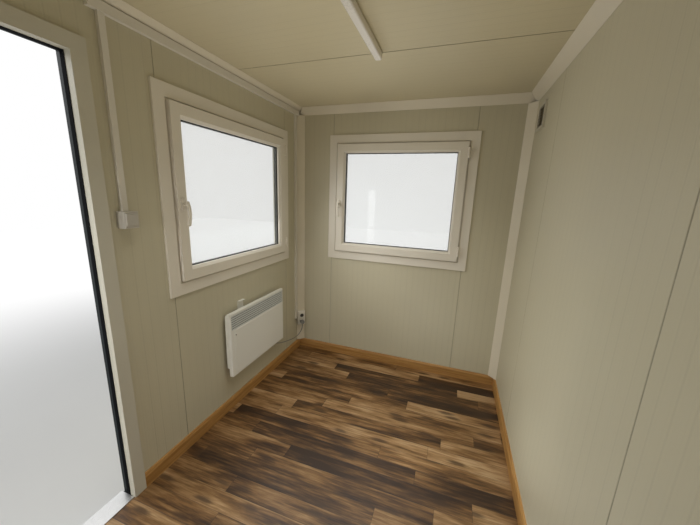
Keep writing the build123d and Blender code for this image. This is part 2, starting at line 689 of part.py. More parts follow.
# Doorway: X0 and X1 are the clear opening, the outer part of the frame makes the rebate for the leaf
DOOR_X0 = along(DOOR_NEAR)
DOOR_X1 = DOOR_X0 + DOOR_CLEAR_WIDTH
DOOR_HEAD = up(DOOR_CLEAR_HEIGHT)
LINING_FRONT = -ROOM_Y - DOOR_LINING_DEPTH
SEAL_FRONT = LINING_FRONT - DOOR_SEAL_DEPTH
FRAME_FRONT = -HALF_WIDTH


def portal(x0, x1, head, inner_x0, inner_x1, inner_head, y0, y1):
    """Two jambs and a head in one piece, standing on the base frame."""
    outer = block(x0, x1, y0, y1, BASE_HEIGHT, head)
    return outer - block(inner_x0, inner_x1, y0 - 1, y1 + 1, BASE_HEIGHT - 1, inner_head)


def door_casing():
    """White lining of the doorway with its flat casing on the room side."""
    wide = DOOR_LINING
    lining = portal(DOOR_X0 - wide, DOOR_X1 + wide, DOOR_HEAD + wide,
                    DOOR_X0, DOOR_X1, DOOR_HEAD, LINING_FRONT, -ROOM_Y)
    cover = DOOR_CASING_WIDTH
    flat = portal(DOOR_X0 - cover, DOOR_X1 + cover, DOOR_HEAD + cover,
                  DOOR_X0, DOOR_X1, DOOR_HEAD, -ROOM_Y, -ROOM_Y + DOOR_CASING_THICKNESS)
    return lining + flat


def door_seal():
    """Black rubber strip in front of the lining, proud of it by a little."""
    wide = DOOR_LINING
    proud = DOOR_SEAL_PROUD
    return portal(DOOR_X0 - wide, DOOR_X1 + wide, DOOR_HEAD + wide,
                  DOOR_X0 + proud, DOOR_X1 - proud, DOOR_HEAD - proud, SEAL_FRONT, LINING_FRONT)


def door_frame():
    """Dark steel outer frame with a flange over the wall panels."""
    wide, recess, flange = DOOR_LINING, DOOR_RECESS, DOOR_LINING + DOOR_FLANGE
    x0, x1, head = DOOR_X0 - recess, DOOR_X1 + recess, DOOR_HEAD + recess
    jamb = portal(DOOR_X0 - wide, DOOR_X1 + wide, DOOR_HEAD + wide, x0, x1, head, -SKIN_Y, SEAL_FRONT)
    face = portal(DOOR_X0 - flange, DOOR_X1 + flange, DOOR_HEAD + flange, x0, x1, head, FRAME_FRONT, -SKIN_Y)
    return jamb + face


def door_threshold():
    """Aluminium plate over the base frame with a nose turned down outside."""
    z0, z1 = FLOOR, FLOOR + THRESHOLD_PLATE
    front = FRAME_FRONT - 10
    plate = block(DOOR_X0 + DOOR_SEAL_PROUD, DOOR_X1 - DOOR_SEAL_PROUD, front, -ROOM_Y + 6, z0, z1)
    nose = block(DOOR_X0 + DOOR_SEAL_PROUD, DOOR_X1 - DOOR_SEAL_PROUD, front, front + THRESHOLD_PLATE,
                 z0 - THRESHOLD_NOSE, z1)
    return plate + nose


# The leaf is built closed, then turned open about the hinge line
LEAF_INSIDE = SEAL_FRONT - DOOR_GAP
LEAF_OUTSIDE = LEAF_INSIDE - LEAF_THICKNESS
LEAF_X0 = DOOR_X0 - DOOR_RECESS + DOOR_GAP
LEAF_X1 = DOOR_X1 + DOOR_RECESS - DOOR_GAP
LEAF_Z0 = FLOOR + THRESHOLD_PLATE + DOOR_GAP
LEAF_Z1 = DOOR_HEAD + DOOR_RECESS - DOOR_GAP
EDGE_Y = FRAME_FRONT - DOOR_GAP
HINGE_X = LEAF_X1 + LEAF_OVERLAP + HINGE_RADIUS
HINGE_Y = LEAF_OUTSIDE + HINGE_RADIUS - HINGE_PLATE


def swung(shape):
    """Turn a piece of the closed door open about the hinge line."""
    return shape.rotate(Axis((HINGE_X, HINGE_Y, 0), (0, 0, 1)), OPEN_ANGLE)


def door_leaf():
    """Insulated steel leaf with a rebated edge that laps the frame outside."""
    body = block(LEAF_X0, LEAF_X1, LEAF_OUTSIDE, LEAF_INSIDE, LEAF_Z0, LEAF_Z1)
    lap = block(LEAF_X0 - LEAF_OVERLAP, LEAF_X1 + LEAF_OVERLAP, LEAF_OUTSIDE, EDGE_Y,
                LEAF_Z0, LEAF_Z1 + LEAF_OVERLAP)
    return swung(body + lap)


def door_handles():
    """Long plates and levers on both faces of the leaf, on one spindle line."""
    x = LEAF_X0 + LEVER_SETBACK
    z = up(LEVER_HEIGHT)
    pieces = []
    for face, out in ((LEAF_INSIDE, 1), (LEAF_OUTSIDE, -1)):
        y0, y1 = sorted((face, face + out * 8))
        plate = block(x - 20, x + 20, y0, y1, z - LEVER_PLATE_BELOW, z + LEVER_PLATE_ABOVE)
        plate = fillet(plate.edges().filter_by(Axis.Y), 12)
        neck = Location((x, face + out * 28, z), (90, 0, 0)) * Cylinder(10, 44)
        y0, y1 = sorted((face + out * 40, face + out * 56))
        lever = fillet(block(x - 10, x - 10 + LEVER_LENGTH, y0, y1, z - 10, z + 10).edges().filter_by(Axis.Y), 9)
        pieces.append(swung(plate + neck + lever))
    return Compound(pieces)


def door_hinges():
    """Lift-off hinges: the frame half carries the pin, the leaf half turns on it."""
    fixed, moving = [], []
    for height in HINGE_HEIGHTS:
        z = up(height)
        low = Location((HINGE_X, HINGE_Y, z - HINGE_HALF / 2)) * Cylinder(HINGE_RADIUS - KNUCKLE_PLAY, HINGE_HALF)
        pin = Location((HINGE_X, HINGE_Y, z + HINGE_HALF / 2 - 4)) * Cylinder(PIN_RADIUS, HINGE_HALF - 8)
        web = block(HINGE_X - 1, HINGE_X + HINGE_RADIUS, HINGE_Y, FRAME_FRONT, z - HINGE_HALF, z)
        plate = block(HINGE_X - 1, HINGE_X + HINGE_LEAF, FRAME_FRONT - HINGE_PLATE, FRAME_FRONT,
                      z - HINGE_HALF, z)
        fixed.append(low + pin + web + plate)
        z0, z1 = z + 1, z + HINGE_HALF
        top = Location((HINGE_X, HINGE_Y, (z0 + z1) / 2)) * Cylinder(HINGE_RADIUS, z1 - z0)
        strap = block(HINGE_X - HINGE_LEAF, HINGE_X, LEAF_OUTSIDE - HINGE_PLATE, LEAF_OUTSIDE, z0, z1)
        bore = Location((HINGE_X, HINGE_Y, z + HINGE_HALF / 2 - 4)) * Cylinder(PIN_RADIUS + PIN_PLAY,
                                                                             HINGE_HALF - 6)
        moving.append(swung(top + strap - bore))
    return Compound(fixed), Compound(moving)


def cable_trunking():
    """Trunking under the front cove with one drop to the switch and one to the socket."""
    y0 = -ROOM_Y
    top = CEILING - FRONT_COVE_DROP
    run = block(-ROOM_X + COVE_LEG / 2, along(TRUNK_END), y0, y0 + TRUNK_DEPTH, top - TRUNK_HEIGHT, top)
    clear = COVE_LEG + COVE_SHEET + 1
    run -= prism_z([(-ROOM_X, y0 - 1), (-ROOM_X + clear + 1, y0 - 1), (-ROOM_X, y0 + clear)],
                   top - TRUNK_HEIGHT - 1, top + 1)
    half = DROP_WIDTH / 2
    low = top - TRUNK_HEIGHT
    drops = run
    for centre, foot in ((SWITCH_DROP, SWITCH_BOTTOM + SWITCH_HEIGHT),
                         (SOCKET_DROP, SOCKET_BOTTOM + SOCKET_HEIGHT / 2)):
        drops += block(along(centre) - half, along(centre) + half, y0, y0 + DROP_DEPTH, up(foot), low)
    return drops


def light_switch():
    """Surface box with one rocker, its face slightly crowned."""
    x, y0, z0 = along(SWITCH_DROP), -ROOM_Y, up(SWITCH_BOTTOM)
    half = SWITCH_WIDTH / 2
    box = block(x - half, x + half, y0, y0 + SWITCH_DEPTH, z0, z0 + SWITCH_HEIGHT)
    box = chamfer(box.faces().sort_by(Axis.Y)[-1].edges(), 4)
    key = block(x - half + SWITCH_EDGE, x + half - SWITCH_EDGE, y0 + SWITCH_DEPTH, y0 + SWITCH_DEPTH + 4,
                z0 + 2 * SWITCH_EDGE, z0 + SWITCH_HEIGHT - 2 * SWITCH_EDGE)
    return box + chamfer(key.faces().sort_by(Axis.Y)[-1].edges(), 3)


def on_corner_trim(reach, height):
    """Place on the slanted trim of the corner with the socket, a reach away from its face."""
    face = (COVE_LEG + COVE_SHEET) / 2
    out = reach / math.sqrt(2)
    shift = SOCKET_SHIFT / math.sqrt(2)
    return Vector(along(face + out + shift), across(face + out - shift), up(height))


def at_socket(shape):
    """Seat a piece built against the plane y=0 on the corner trim, facing into the room."""
    place = on_corner_trim(0, SOCKET_BOTTOM)
    return Location((place.X, place.Y, place.Z), (0, 0, -45)) * shape


def socket_box():
    """Double surface socket; the upper outlet's lid is shut, the lower one stands over the plug."""
    half, face = SOCKET_WIDTH / 2, SOCKET_DEPTH
    box = block(-half, half, 0, face, 0, SOCKET_HEIGHT)
    box = chamfer(box.faces().sort_by(Axis.Y)[-1].edges(), 4)
    well = Location((0, face - 7, LOWER_OUTLET), (90, 0, 0)) * Cylinder(PLUG_RADIUS + 0.5, 16)
    upper = LOWER_OUTLET + OUTLET_SPACING
    lid = fillet(block(-24, 24, face, face + 5, upper - 24, upper + 24).edges().filter_by(Axis.Y), 6)
    raised = block(-24, 24, face, face + 30, LOWER_OUTLET + 26, LOWER_OUTLET + 30)
    return at_socket(box - well + lid + raised)


def heater_plug():
    """Round angled plug pushed into the lower outlet, its sleeve pointing down."""
    back = SOCKET_DEPTH - 15
    length = PLUG_REACH + 15
    body = Location((0, back + length / 2, LOWER_OUTLET), (90, 0, 0)) * Cylinder(PLUG_RADIUS, length)
    top = LOWER_OUTLET - PLUG_RADIUS + 4
    foot = PLUG_FOOT - SOCKET_BOTTOM
    sleeve = Location((0, SOCKET_DEPTH + PLUG_SLEEVE, (top + foot) / 2)) * Cone(5.0, 7.0, top - foot)
    return at_socket(body + sleeve)


# The flex leaves the heater's underside and rises to the plug. Each point of its route: how far
# from the plug (0) to the heater (1) along the wall, how far out from the heater (0) to the plug (1),
# and how far it hangs below the straight line between the two
PLUG_FOOT = 263.0
GLAND_LENGTH = 13.0
GLAND_RADIUS = 7.0
FLEX_TOP = HEATER_BOTTOM + HEATER_STEP - GLAND_LENGTH
FLEX_RISE = 22.0
GLAND_INSET = 102.0            # from the heater's near end
GLAND_OUT = 8.5               # from the heater's back
FLEX_ROUTE = [(1.0, 0.0, 30), (0.969, 0.05, 56), (0.888, 0.13, 75), (0.775, 0.25, 87),
              (0.645, 0.38, 94), (0.506, 0.51, 100), (0.376, 0.64, 103), (0.254, 0.76, 99),
              (0.156, 0.84, 88), (0.075, 0.92, 69), (0.023, 0.98, 45)]


def flex_exit():
    """Mouth of the gland under the heater."""
    return Vector(along(HEATER_NEAR + GLAND_INSET), across(HEATER_STANDOFF + GLAND_OUT), up(FLEX_TOP))


def flex_path():
    """Straight runs joined by tangent arcs as large as the runs allow."""
    start = flex_exit()
    end = on_corner_trim(SOCKET_DEPTH + PLUG_SLEEVE, PLUG_FOOT)
    points = [start]
    for share, out, sag in FLEX_ROUTE:
        x = end.X + share * (start.X - end.X)
        y = start.Y + out * (end.Y - start.Y)
        points.append(Vector(x, y, end.Z + share * (start.Z - end.Z) - sag))
    points += [end - Vector(0, 0, FLEX_RISE), end]
    radii = []
    for before, here, after in zip(points[:-2], points[1:-1], points[2:]):
        turn = math.radians((here - before).get_angle(after - here))
        run = min((here - before).length, (after - here).length)
        radii.append(0.45 * run / math.tan(turn / 2))
    print("flex radii", [round(r, 1) for r in radii])
    print("flex route", [(round(p.X, 1), round(p.Y, 1), round(p.Z, 1)) for p in points])
    return FilletPolyline(*points, radius=radii)


def heater_cable():
    path = flex_path()
    start = path @ 0
    section = Plane(origin=start, z_dir=path % 0) * Circle(FLEX_DIAMETER / 2)
    tube = sweep(section, path=path)
    print("flex length", round(path.length, 1), "volume check",
          round(tube.volume / (math.pi * FLEX_DIAMETER ** 2 / 4 * path.length), 4))
    return tube


HEATER_X0 = along(HEATER_NEAR)
HEATER_X1 = HEATER_X0 + HEATER_WIDTH
HEATER_BACK = -ROOM_Y + HEATER_STANDOFF
HEATER_FRONT = HEATER_BACK + HEATER_DEPTH
HEATER_Z0 = up(HEATER_BOTTOM)
HEATER_Z1 = HEATER_Z0 + HEATER_HEIGHT
GRILLE_X0 = HEATER_X0 + GRILLE_SIDE
GRILLE_X1 = HEATER_X1 - GRILLE_SIDE
GRILLE_Z1 = HEATER_Z1 - GRILLE_DROP
GRILLE_Z0 = GRILLE_Z1 - GRILLE_HEIGHT


def heater_section(inset):
    """Side outline of the convector: bevelled top edge behind, raised underside behind the lip."""
    back, front = HEATER_BACK + inset, HEATER_FRONT - inset
    z0, z1 = HEATER_Z0 + inset, HEATER_Z1 - inset
    step = HEATER_Z0 + HEATER_STEP + inset
    lip = HEATER_FRONT - HEATER_LIP + inset
    return [(back, step), (lip, step), (lip, z0), (front, z0), (front, z1), (back + 14, z1), (back, z1 - 18)]


def heater_body():
    """Sheet steel case, open at the front behind the grille and underneath for the air."""
    case = prism_x(heater_section(0), HEATER_X0, HEATER_X1)
    upright = [e for e in case.edges().filter_by(Axis.Z) if e.center().Y > HEATER_FRONT - 1]
    case = fillet(upright, HEATER_EDGE)
    room = prism_x(heater_section(HEATER_SHEET), HEATER_X0 + HEATER_SHEET, HEATER_X1 - HEATER_SHEET)
    upright = [e for e in room.edges().filter_by(Axis.Z) if e.center().Y > HEATER_FRONT - HEATER_SHEET - 1]
    case -= fillet(upright, HEATER_EDGE - HEATER_SHEET)
    case -= block(GRILLE_X0, GRILLE_X1, HEATER_FRONT - HEATER_SHEET - 1, HEATER_FRONT + 1, GRILLE_Z0, GRILLE_Z1)
    intake = HEATER_Z0 + HEATER_STEP
    case -= block(HEATER_X0 + INTAKE_INSET, HEATER_X1 - INTAKE_INSET, HEATER_BACK + 8,
                  HEATER_FRONT - HEATER_LIP - 2, intake - 1, intake + HEATER_SHEET + 1)
    foot = flex_exit()
    gland = Location((foot.X, foot.Y, foot.Z + GLAND_LENGTH / 2)) * Cylinder(GLAND_RADIUS, GLAND_LENGTH)
    return case + gland


def heater_grille():
    """Outlet grille: slats and stays in one pressed frame, flush with the front."""
    y1 = HEATER_FRONT
    y0 = y1 - 6
    rim = 4.0
    grille = block(GRILLE_X0, GRILLE_X1, y0, y1, GRILLE_Z0, GRILLE_Z1)
    grille -= block(GRILLE_X0 + rim, GRILLE_X1 - rim, y0 - 1, y1 + 1, GRILLE_Z0 + rim, GRILLE_Z1 - rim)
    inner = GRILLE_HEIGHT - 2 * rim
    for i in range(1, GRILLE_SLATS):
        z = GRILLE_Z0 + rim + inner * i / GRILLE_SLATS
        grille += block(GRILLE_X0 + 1, GRILLE_X1 - 1, y0 + 2, y1 - 1, z - GRILLE_BAR / 2, z + GRILLE_BAR / 2)
    width = GRILLE_X1 - GRILLE_X0
    for i in range(1, GRILLE_STAYS):
        x = GRILLE_X0 + width * i / GRILLE_STAYS
        grille += block(x - 1, x + 1, y0, y1 - 2, GRILLE_Z0 + 1, GRILLE_Z1 - 1)
    return grille


def heater_bracket():
    """Wall plate with arms behind the heater and one hooked tab that rises over its top edge."""
    y0 = -ROOM_Y
    s = HEATER_SHEET
    x0, x1 = HEATER_X0 + BRACKET_INSET, HEATER_X1 - BRACKET_INSET
    z0, z1 = HEATER_Z0 + BRACKET_LOW, HEATER_Z0 + BRACKET_HIGH
    plate = block(x0, x1, y0, y0 + s, z0, z1)
    arms = [block(x, x + s, y0, HEATER_BACK, z0, z1) for x in (x0, x1 - s)]
    tab_x = HEATER_X1 - BRACKET_TAB_INSET - BRACKET_TAB
    tab = block(tab_x, tab_x + BRACKET_TAB, y0, y0 + s, z1 - 1, HEATER_Z1 + BRACKET_RISE)
    hook = block(tab_x, tab_x + BRACKET_TAB, y0, HEATER_BACK, HEATER_Z1 + BRACKET_RISE - s,
                 HEATER_Z1 + BRACKET_RISE)
    return plate + arms[0] + arms[1] + tab + hook


def lamp_body():
    """Spine of the lamp batten on the ceiling, with its two end caps."""
    x0 = along(LAMP_START)
    x1 = x0 + LAMP_LENGTH
    y = across(LAMP_CENTRE)
    half = LAMP_WIDTH / 2
    inset = half - LAMP_SPINE_INSET
    spine = block(x0 + LAMP_CAP, x1 - LAMP_CAP, y - inset, y + inset, CEILING - LAMP_BASE, CEILING)
    low = CEILING - LAMP_HEIGHT + LAMP_CAP_RISE
    foot = inset - LAMP_CAP_BEVEL
    section = [(y - inset, CEILING), (y - inset, low + LAMP_CAP_BEVEL), (y - foot, low), (y + foot, low),
               (y + inset, low + LAMP_CAP_BEVEL), (y + inset, CEILING)]
    for x in (x0, x1 - LAMP_CAP):
        spine += prism_x(section, x, x + LAMP_CAP)
    return spine


def lamp_diffuser():
    """Opal cover with rounded lower edges, hung under the spine between the caps."""
    x0 = along(LAMP_START) + LAMP_CAP
    x1 = x0 + LAMP_LENGTH - 2 * LAMP_CAP
    y = across(LAMP_CENTRE)
    half = LAMP_WIDTH / 2
    cover = block(x0, x1, y - half, y + half, CEILING - LAMP_HEIGHT, CEILING - LAMP_BASE)
    low = [e for e in cover.edges().filter_by(Axis.X) if e.center().Z < CEILING - LAMP_HEIGHT + 1]
    return fillet(low, LAMP_ROUND)


def vent_grille():
    """Louvred air vent on the back wall, near the left end under the ceiling."""
    x, z, half = along(VENT_CENTRE), up(VENT_HEIGHT), VENT_SIZE / 2
    y1 = ROOM_Y
    y0 = y1 - VENT_DEPTH
    vent = block(x - half, x + half, y0, y1, z - half, z + half)
    clear = half - VENT_RIM
    vent -= block(x - clear, x + clear, y0 - 1, y1 - 1, z - clear, z + clear)
    pitch = 2 * clear / VENT_SLATS
    for i in range(VENT_SLATS):
        low = z - clear + i * pitch
        slat = [(y0 + 1, low + 1), (y0 + 3, low + 1), (y1 - 1, low + pitch - 4), (y1 - 1, low + pitch - 1)]
        vent += prism_x(slat, x - clear, x + clear)
    return vent


def build():
    """All nodes of the cabin by name."""
    nodes = {
        "base_beams": base_frame(),
        "floor_joists": floor_joists(),
        "floor_underside": floor_underside(),
        "floor_board": floor_board(),
        "laminate_floor": laminate_floor(),
        "corner_posts": corner_posts(),
        "roof_beams": roof_beams(),
        "ceiling_panels": ceiling_panels(),
        "roof_purlins": roof_purlins(),
        "roof_deck": roof_deck(),
        "roof_gutter": roof_gutter(),
    }
    corner, window_panels, pier, right = front_wall()
    nodes["front_wall_corner"] = corner
    nodes["front_wall_at_window"] = window_panels
    nodes["front_wall_pier"] = pier
    nodes["front_wall_right"] = right
    nodes["left_wall_sides"], nodes["left_wall_at_window"] = end_wall(-1, True)
    nodes["right_wall"] = end_wall(1, False)
    nodes["back_wall"] = back_wall()
    nodes["ceiling_trims"] = ceiling_trims()
    nodes["corner_trims"] = corner_trims()
    nodes["skirting_boards"] = skirting_boards()
    for name, seat in (("front_window", in_front_wall), ("left_window", in_left_wall)):
        nodes[name + "_frame"] = seat(window_frame())
        nodes[name + "_sash"] = seat(window_sash())
        nodes[name + "_glass"] = seat(window_glass())
        nodes[name + "_casing"] = seat(window_casing())
    seats = (in_front_wall, in_left_wall)
    nodes["window_handles"] = Compound([seat(window_handle()) for seat in seats])
    nodes["window_hinges"] = Compound([seat(h) for seat in seats for h in window_hinges()])
    nodes["window_outer_trims"] = Compound([seat(window_outer_trim()) for seat in seats])
    nodes["door_casing"] = door_casing()
    nodes["door_seal"] = door_seal()
    nodes["door_frame"] = door_frame()
    nodes["door_threshold"] = door_threshold()
    nodes["door_leaf"] = door_leaf()
    nodes["door_handles"] = door_handles()
    nodes["door_hinge_pins"], nodes["door_hinge_leaves"] = door_hinges()
    nodes["cable_trunking"] = cable_trunking()
    nodes["light_switch"] = light_switch()
    nodes["socket_box"] = socket_box()
    nodes["heater_plug"] = heater_plug()
    nodes["heater_cable"] = heater_cable()
    nodes["heater_body"] = heater_body()
    nodes["heater_grille"] = heater_grille()
    nodes["heater_bracket"] = heater_bracket()
    nodes["lamp_body"] = lamp_body()
    nodes["lamp_diffuser"] = lamp_diffuser()
    nodes["vent_grille"] = vent_grille()
    return nodes


os.makedirs("parts", exist_ok=True)
for node, shape in build().items():
    export_step(shape, f"parts/{node}.step")
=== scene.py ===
# %% [markdown]
# # A one-room site cabin, seen from inside
# The cabin is a steel frame filled with insulated panels. Its solids come from the workshop drawing,
# in metres and in their final places. This lesson gives them their finishes, adds the thin and fine
# things that a solid model leaves plain, and sets camera and light.

# %% Load the cabin
import math

import bmesh
import bpy
import numpy as np
from mathutils import Matrix, Vector


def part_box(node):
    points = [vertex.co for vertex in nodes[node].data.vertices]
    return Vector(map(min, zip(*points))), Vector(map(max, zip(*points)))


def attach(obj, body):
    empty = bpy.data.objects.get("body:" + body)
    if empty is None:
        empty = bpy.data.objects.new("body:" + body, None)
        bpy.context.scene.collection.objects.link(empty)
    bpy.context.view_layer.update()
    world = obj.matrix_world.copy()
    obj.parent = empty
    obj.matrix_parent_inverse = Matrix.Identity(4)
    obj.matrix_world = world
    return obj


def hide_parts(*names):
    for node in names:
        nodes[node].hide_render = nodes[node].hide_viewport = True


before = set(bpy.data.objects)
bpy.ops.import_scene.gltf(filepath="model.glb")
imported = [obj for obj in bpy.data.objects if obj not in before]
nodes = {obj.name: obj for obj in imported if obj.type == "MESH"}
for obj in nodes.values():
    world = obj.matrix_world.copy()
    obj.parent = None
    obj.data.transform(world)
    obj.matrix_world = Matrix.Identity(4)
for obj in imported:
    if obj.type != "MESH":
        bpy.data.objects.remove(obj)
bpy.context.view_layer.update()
ROOM_X, ROOM_Y = 1.425, 0.925  # half the room's length and width, to the faces of its walls


def in_scene(name, data):
    """Object that shows a mesh, curve, camera or lamp, linked into the scene."""
    item = bpy.data.objects.new(name, data)
    bpy.context.scene.collection.objects.link(item)
    return item


# %% [markdown]
# ## The camera
# The picture was taken with a very wide lens from the corner between door and back wall, at eye
# height. A pinhole camera was worked out from the straight edges of the room: where it stands, how
# far it turns towards the door side, how far it looks down, and how much it leans. Blender's camera
# looks along its own -Z, so the three directions become the columns of its matrix.

# %% Camera at the viewpoint of the photograph
EYE = Vector((1.144, 0.466, 1.649))
TURN, TILT, LEAN = math.radians(-18.70), math.radians(-12.53), math.radians(2.05)
FOCAL_PIXELS, PICTURE_WIDTH, SENSOR = 301.26, 700, 36.0


def camera_axes(turn, tilt, lean):
    """Right, up and forward of a level camera looking along -X, turned, tilted and then leaned."""
    ahead = Vector((-math.cos(tilt) * math.cos(turn), math.cos(tilt) * math.sin(turn),
                    math.sin(tilt)))
    level = ahead.cross(Vector((0, 0, 1))).normalized()
    upright = level.cross(ahead)
    right = math.cos(lean) * level + math.sin(lean) * upright
    return right, ahead.cross(right) * -1, ahead


right, above, ahead = camera_axes(TURN, TILT, LEAN)
lens = bpy.data.cameras.new("camera")
lens.sensor_fit, lens.sensor_width = "HORIZONTAL", SENSOR
lens.lens = FOCAL_PIXELS * SENSOR / PICTURE_WIDTH
lens.clip_start, lens.clip_end = 0.02, 200
camera = in_scene("camera", lens)
camera.matrix_world = Matrix.Translation(EYE) @ Matrix((right, above, -ahead)).transposed().to_4x4()
bpy.context.scene.camera = camera
print("lens", round(lens.lens, 2), "mm")

# %% [markdown]
# ## Meshes from arrays
# Every new piece is a surface worked out with numpy. A grid of points becomes a mesh of four-sided
# faces; a closed outline carried along a path becomes a bar, a strip or a ring.


# %% Grids, bars and rings
ACROSS, UP = np.array([1.0, 0, 0]), np.array([0, 0, 1.0])
CORNERS = np.array([(-1, -1), (1, -1), (1, 1), (-1, 1)], float)


def mesh_piece(name, points, faces, smooth=False, body="cabin"):
    """Object at the origin from points (n, 3) and faces, riding on a body of the cabin."""
    mesh = bpy.data.meshes.new(name)
    mesh.from_pydata(np.asarray(points, float).reshape(-1, 3).tolist(), [], faces)
    mesh.validate()
    mesh.polygons.foreach_set("use_smooth", np.full(len(mesh.polygons), smooth))
    mesh.update()
    piece = in_scene(name, mesh)
    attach(piece, body)
    return piece


def grid_faces(rows, columns, wrap_rows=False, wrap_columns=False):
    """Faces of a grid: each joins a point with its right, right-lower and lower neighbour."""
    r = np.arange(rows if wrap_rows else rows - 1)
    c = np.arange(columns if wrap_columns else columns - 1)
    i, j = np.meshgrid(r, c, indexing="ij")
    i2, j2 = (i + 1) % rows, (j + 1) % columns
    quads = np.stack([i * columns + j, i * columns + j2, i2 * columns + j2, i2 * columns + j], -1)
    return quads.reshape(-1, 4).tolist()


def outline_ring(half_width, half_height, outline, seat):
    """A closed outline of (inward, depth) points carried round a rectangle with mitred corners.

    Each corner point is the rectangle's corner moved inwards by the outline's first number along both
    sides, and pushed to the depth of its second; seat puts (across, depth, up) into the cabin.
    """
    outline = np.asarray(outline, float)
    across = CORNERS[:, None, 0] * (half_width - outline[None, :, 0])
    height = CORNERS[:, None, 1] * (half_height - outline[None, :, 0])
    depth = np.repeat(outline[None, :, 1], 4, axis=0)
    points = seat(np.stack([across, depth, height], -1).reshape(-1, 3))
    return points, grid_faces(4, len(outline), True, True)


def join_parts(parts):
    """Several (points, faces) as one, the faces counted on from part to part."""
    points, faces, count = [], [], 0
    for part_points, part_faces in parts:
        points.append(np.asarray(part_points, float).reshape(-1, 3))
        faces += [[k + count for k in face] for face in part_faces]
        count += len(points[-1])
    return np.concatenate(points), faces


def bar(outline, start, step):
    """A closed outline (n, 3) swept straight by step from start, with both ends closed."""
    first = np.asarray(outline, float) + np.asarray(start, float)
    points = np.concatenate([first, first + np.asarray(step, float)])
    count = len(first)
    ends = [list(range(count))[::-1], list(range(count, 2 * count))]
    return points, grid_faces(2, count, False, True) + ends


def outward(piece):
    """Turn all faces of a closed piece to the outside."""
    work = bmesh.new()
    work.from_mesh(piece.data)
    bmesh.ops.remove_doubles(work, verts=work.verts, dist=1e-6)
    bmesh.ops.recalc_face_normals(work, faces=work.faces)
    work.to_mesh(piece.data)
    work.free()
    return piece


# %% [markdown]
# ## The flex of the heater
# The flex leaves a gland under the heater, hangs in a slack bow and rises into the angled plug. It is
# one smooth line: a NURBS curve whose control points are the corners of the route in the drawing.
# A curve keeps its own bevel, so its thickness is a single number. It is carried by the points, whose
# radius Blender also counts in the curve's reach, and the bevel itself is one.

# %% Flex from heater to plug
FLEX_THICKNESS = 0.007
FLEX_ROUTE = [(-0.905, -0.8945, 0.445), (-0.905, -0.8945, 0.415), (-0.9188, -0.8925, 0.3871),
              (-0.9549, -0.8893, 0.3631), (-1.0052, -0.8845, 0.3441), (-1.0631, -0.8793, 0.329),
              (-1.125, -0.8741, 0.3144), (-1.1829, -0.8689, 0.3033), (-1.2372, -0.8641, 0.2997),
              (-1.2808, -0.8609, 0.3047), (-1.3169, -0.8577, 0.3187), (-1.340, -0.8553, 0.3394),
              (-1.3503, -0.8545, 0.361), (-1.3503, -0.8545, 0.383)]
line = bpy.data.curves.new("heater_flex", "CURVE")
line.dimensions = "3D"
spline = line.splines.new("NURBS")
spline.points.add(len(FLEX_ROUTE) - 1)
spline.points.foreach_set("co", np.c_[np.array(FLEX_ROUTE), np.ones(len(FLEX_ROUTE))].ravel())
spline.points.foreach_set("radius", np.full(len(FLEX_ROUTE), FLEX_THICKNESS / 2))
spline.order_u = 3
spline.use_endpoint_u = True
spline.resolution_u = 8
line.bevel_depth = 1.0
line.bevel_resolution = 5
line.use_fill_caps = True
flex = in_scene("heater_flex", line)
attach(flex, "cabin")
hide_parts("heater_cable")
steps = np.diff(np.array(FLEX_ROUTE), axis=0)
print("flex control line", round(float(np.linalg.norm(steps, axis=1).sum()), 3), "m")

# %% [markdown]
# ## Materials as arithmetic
# A material is a small calculation on the place of each point. The class below lets a value inside a
# material be added, multiplied or compared like a number; behind each sign stands one Math node.


# %% Values and finishes
class Value:
    """A number inside a material."""

    def __init__(self, finish, socket):
        self.finish, self.socket = finish, socket

    def maths(self, operation, *values):
        return self.finish.add("ShaderNodeMath", {"operation": operation}, dict(enumerate(values)))

    def __add__(self, other):
        return self.maths("ADD", self, other)

    __radd__ = __add__

    def __sub__(self, other):
        return self.maths("SUBTRACT", self, other)

    def __rsub__(self, other):
        return self.maths("SUBTRACT", other, self)

    def __mul__(self, other):
        return self.maths("MULTIPLY", self, other)

    def __truediv__(self, other):
        return self.maths("DIVIDE", self, other)

    def __gt__(self, other):
        return self.maths("GREATER_THAN", self, other)

    def larger(self, other):
        return self.maths("MAXIMUM", self, other)

    def floor(self):
        return self.maths("FLOOR", self)

    def part(self):
        return self.maths("FRACT", self)

    def size(self):
        return self.maths("ABSOLUTE", self)

    def ease(self, low, high):
        """0 below low, 1 above high, and a soft step between."""
        return self.finish.add("ShaderNodeMapRange", {"interpolation_type": "SMOOTHSTEP"},
                               {0: self, 1: low, 2: high})


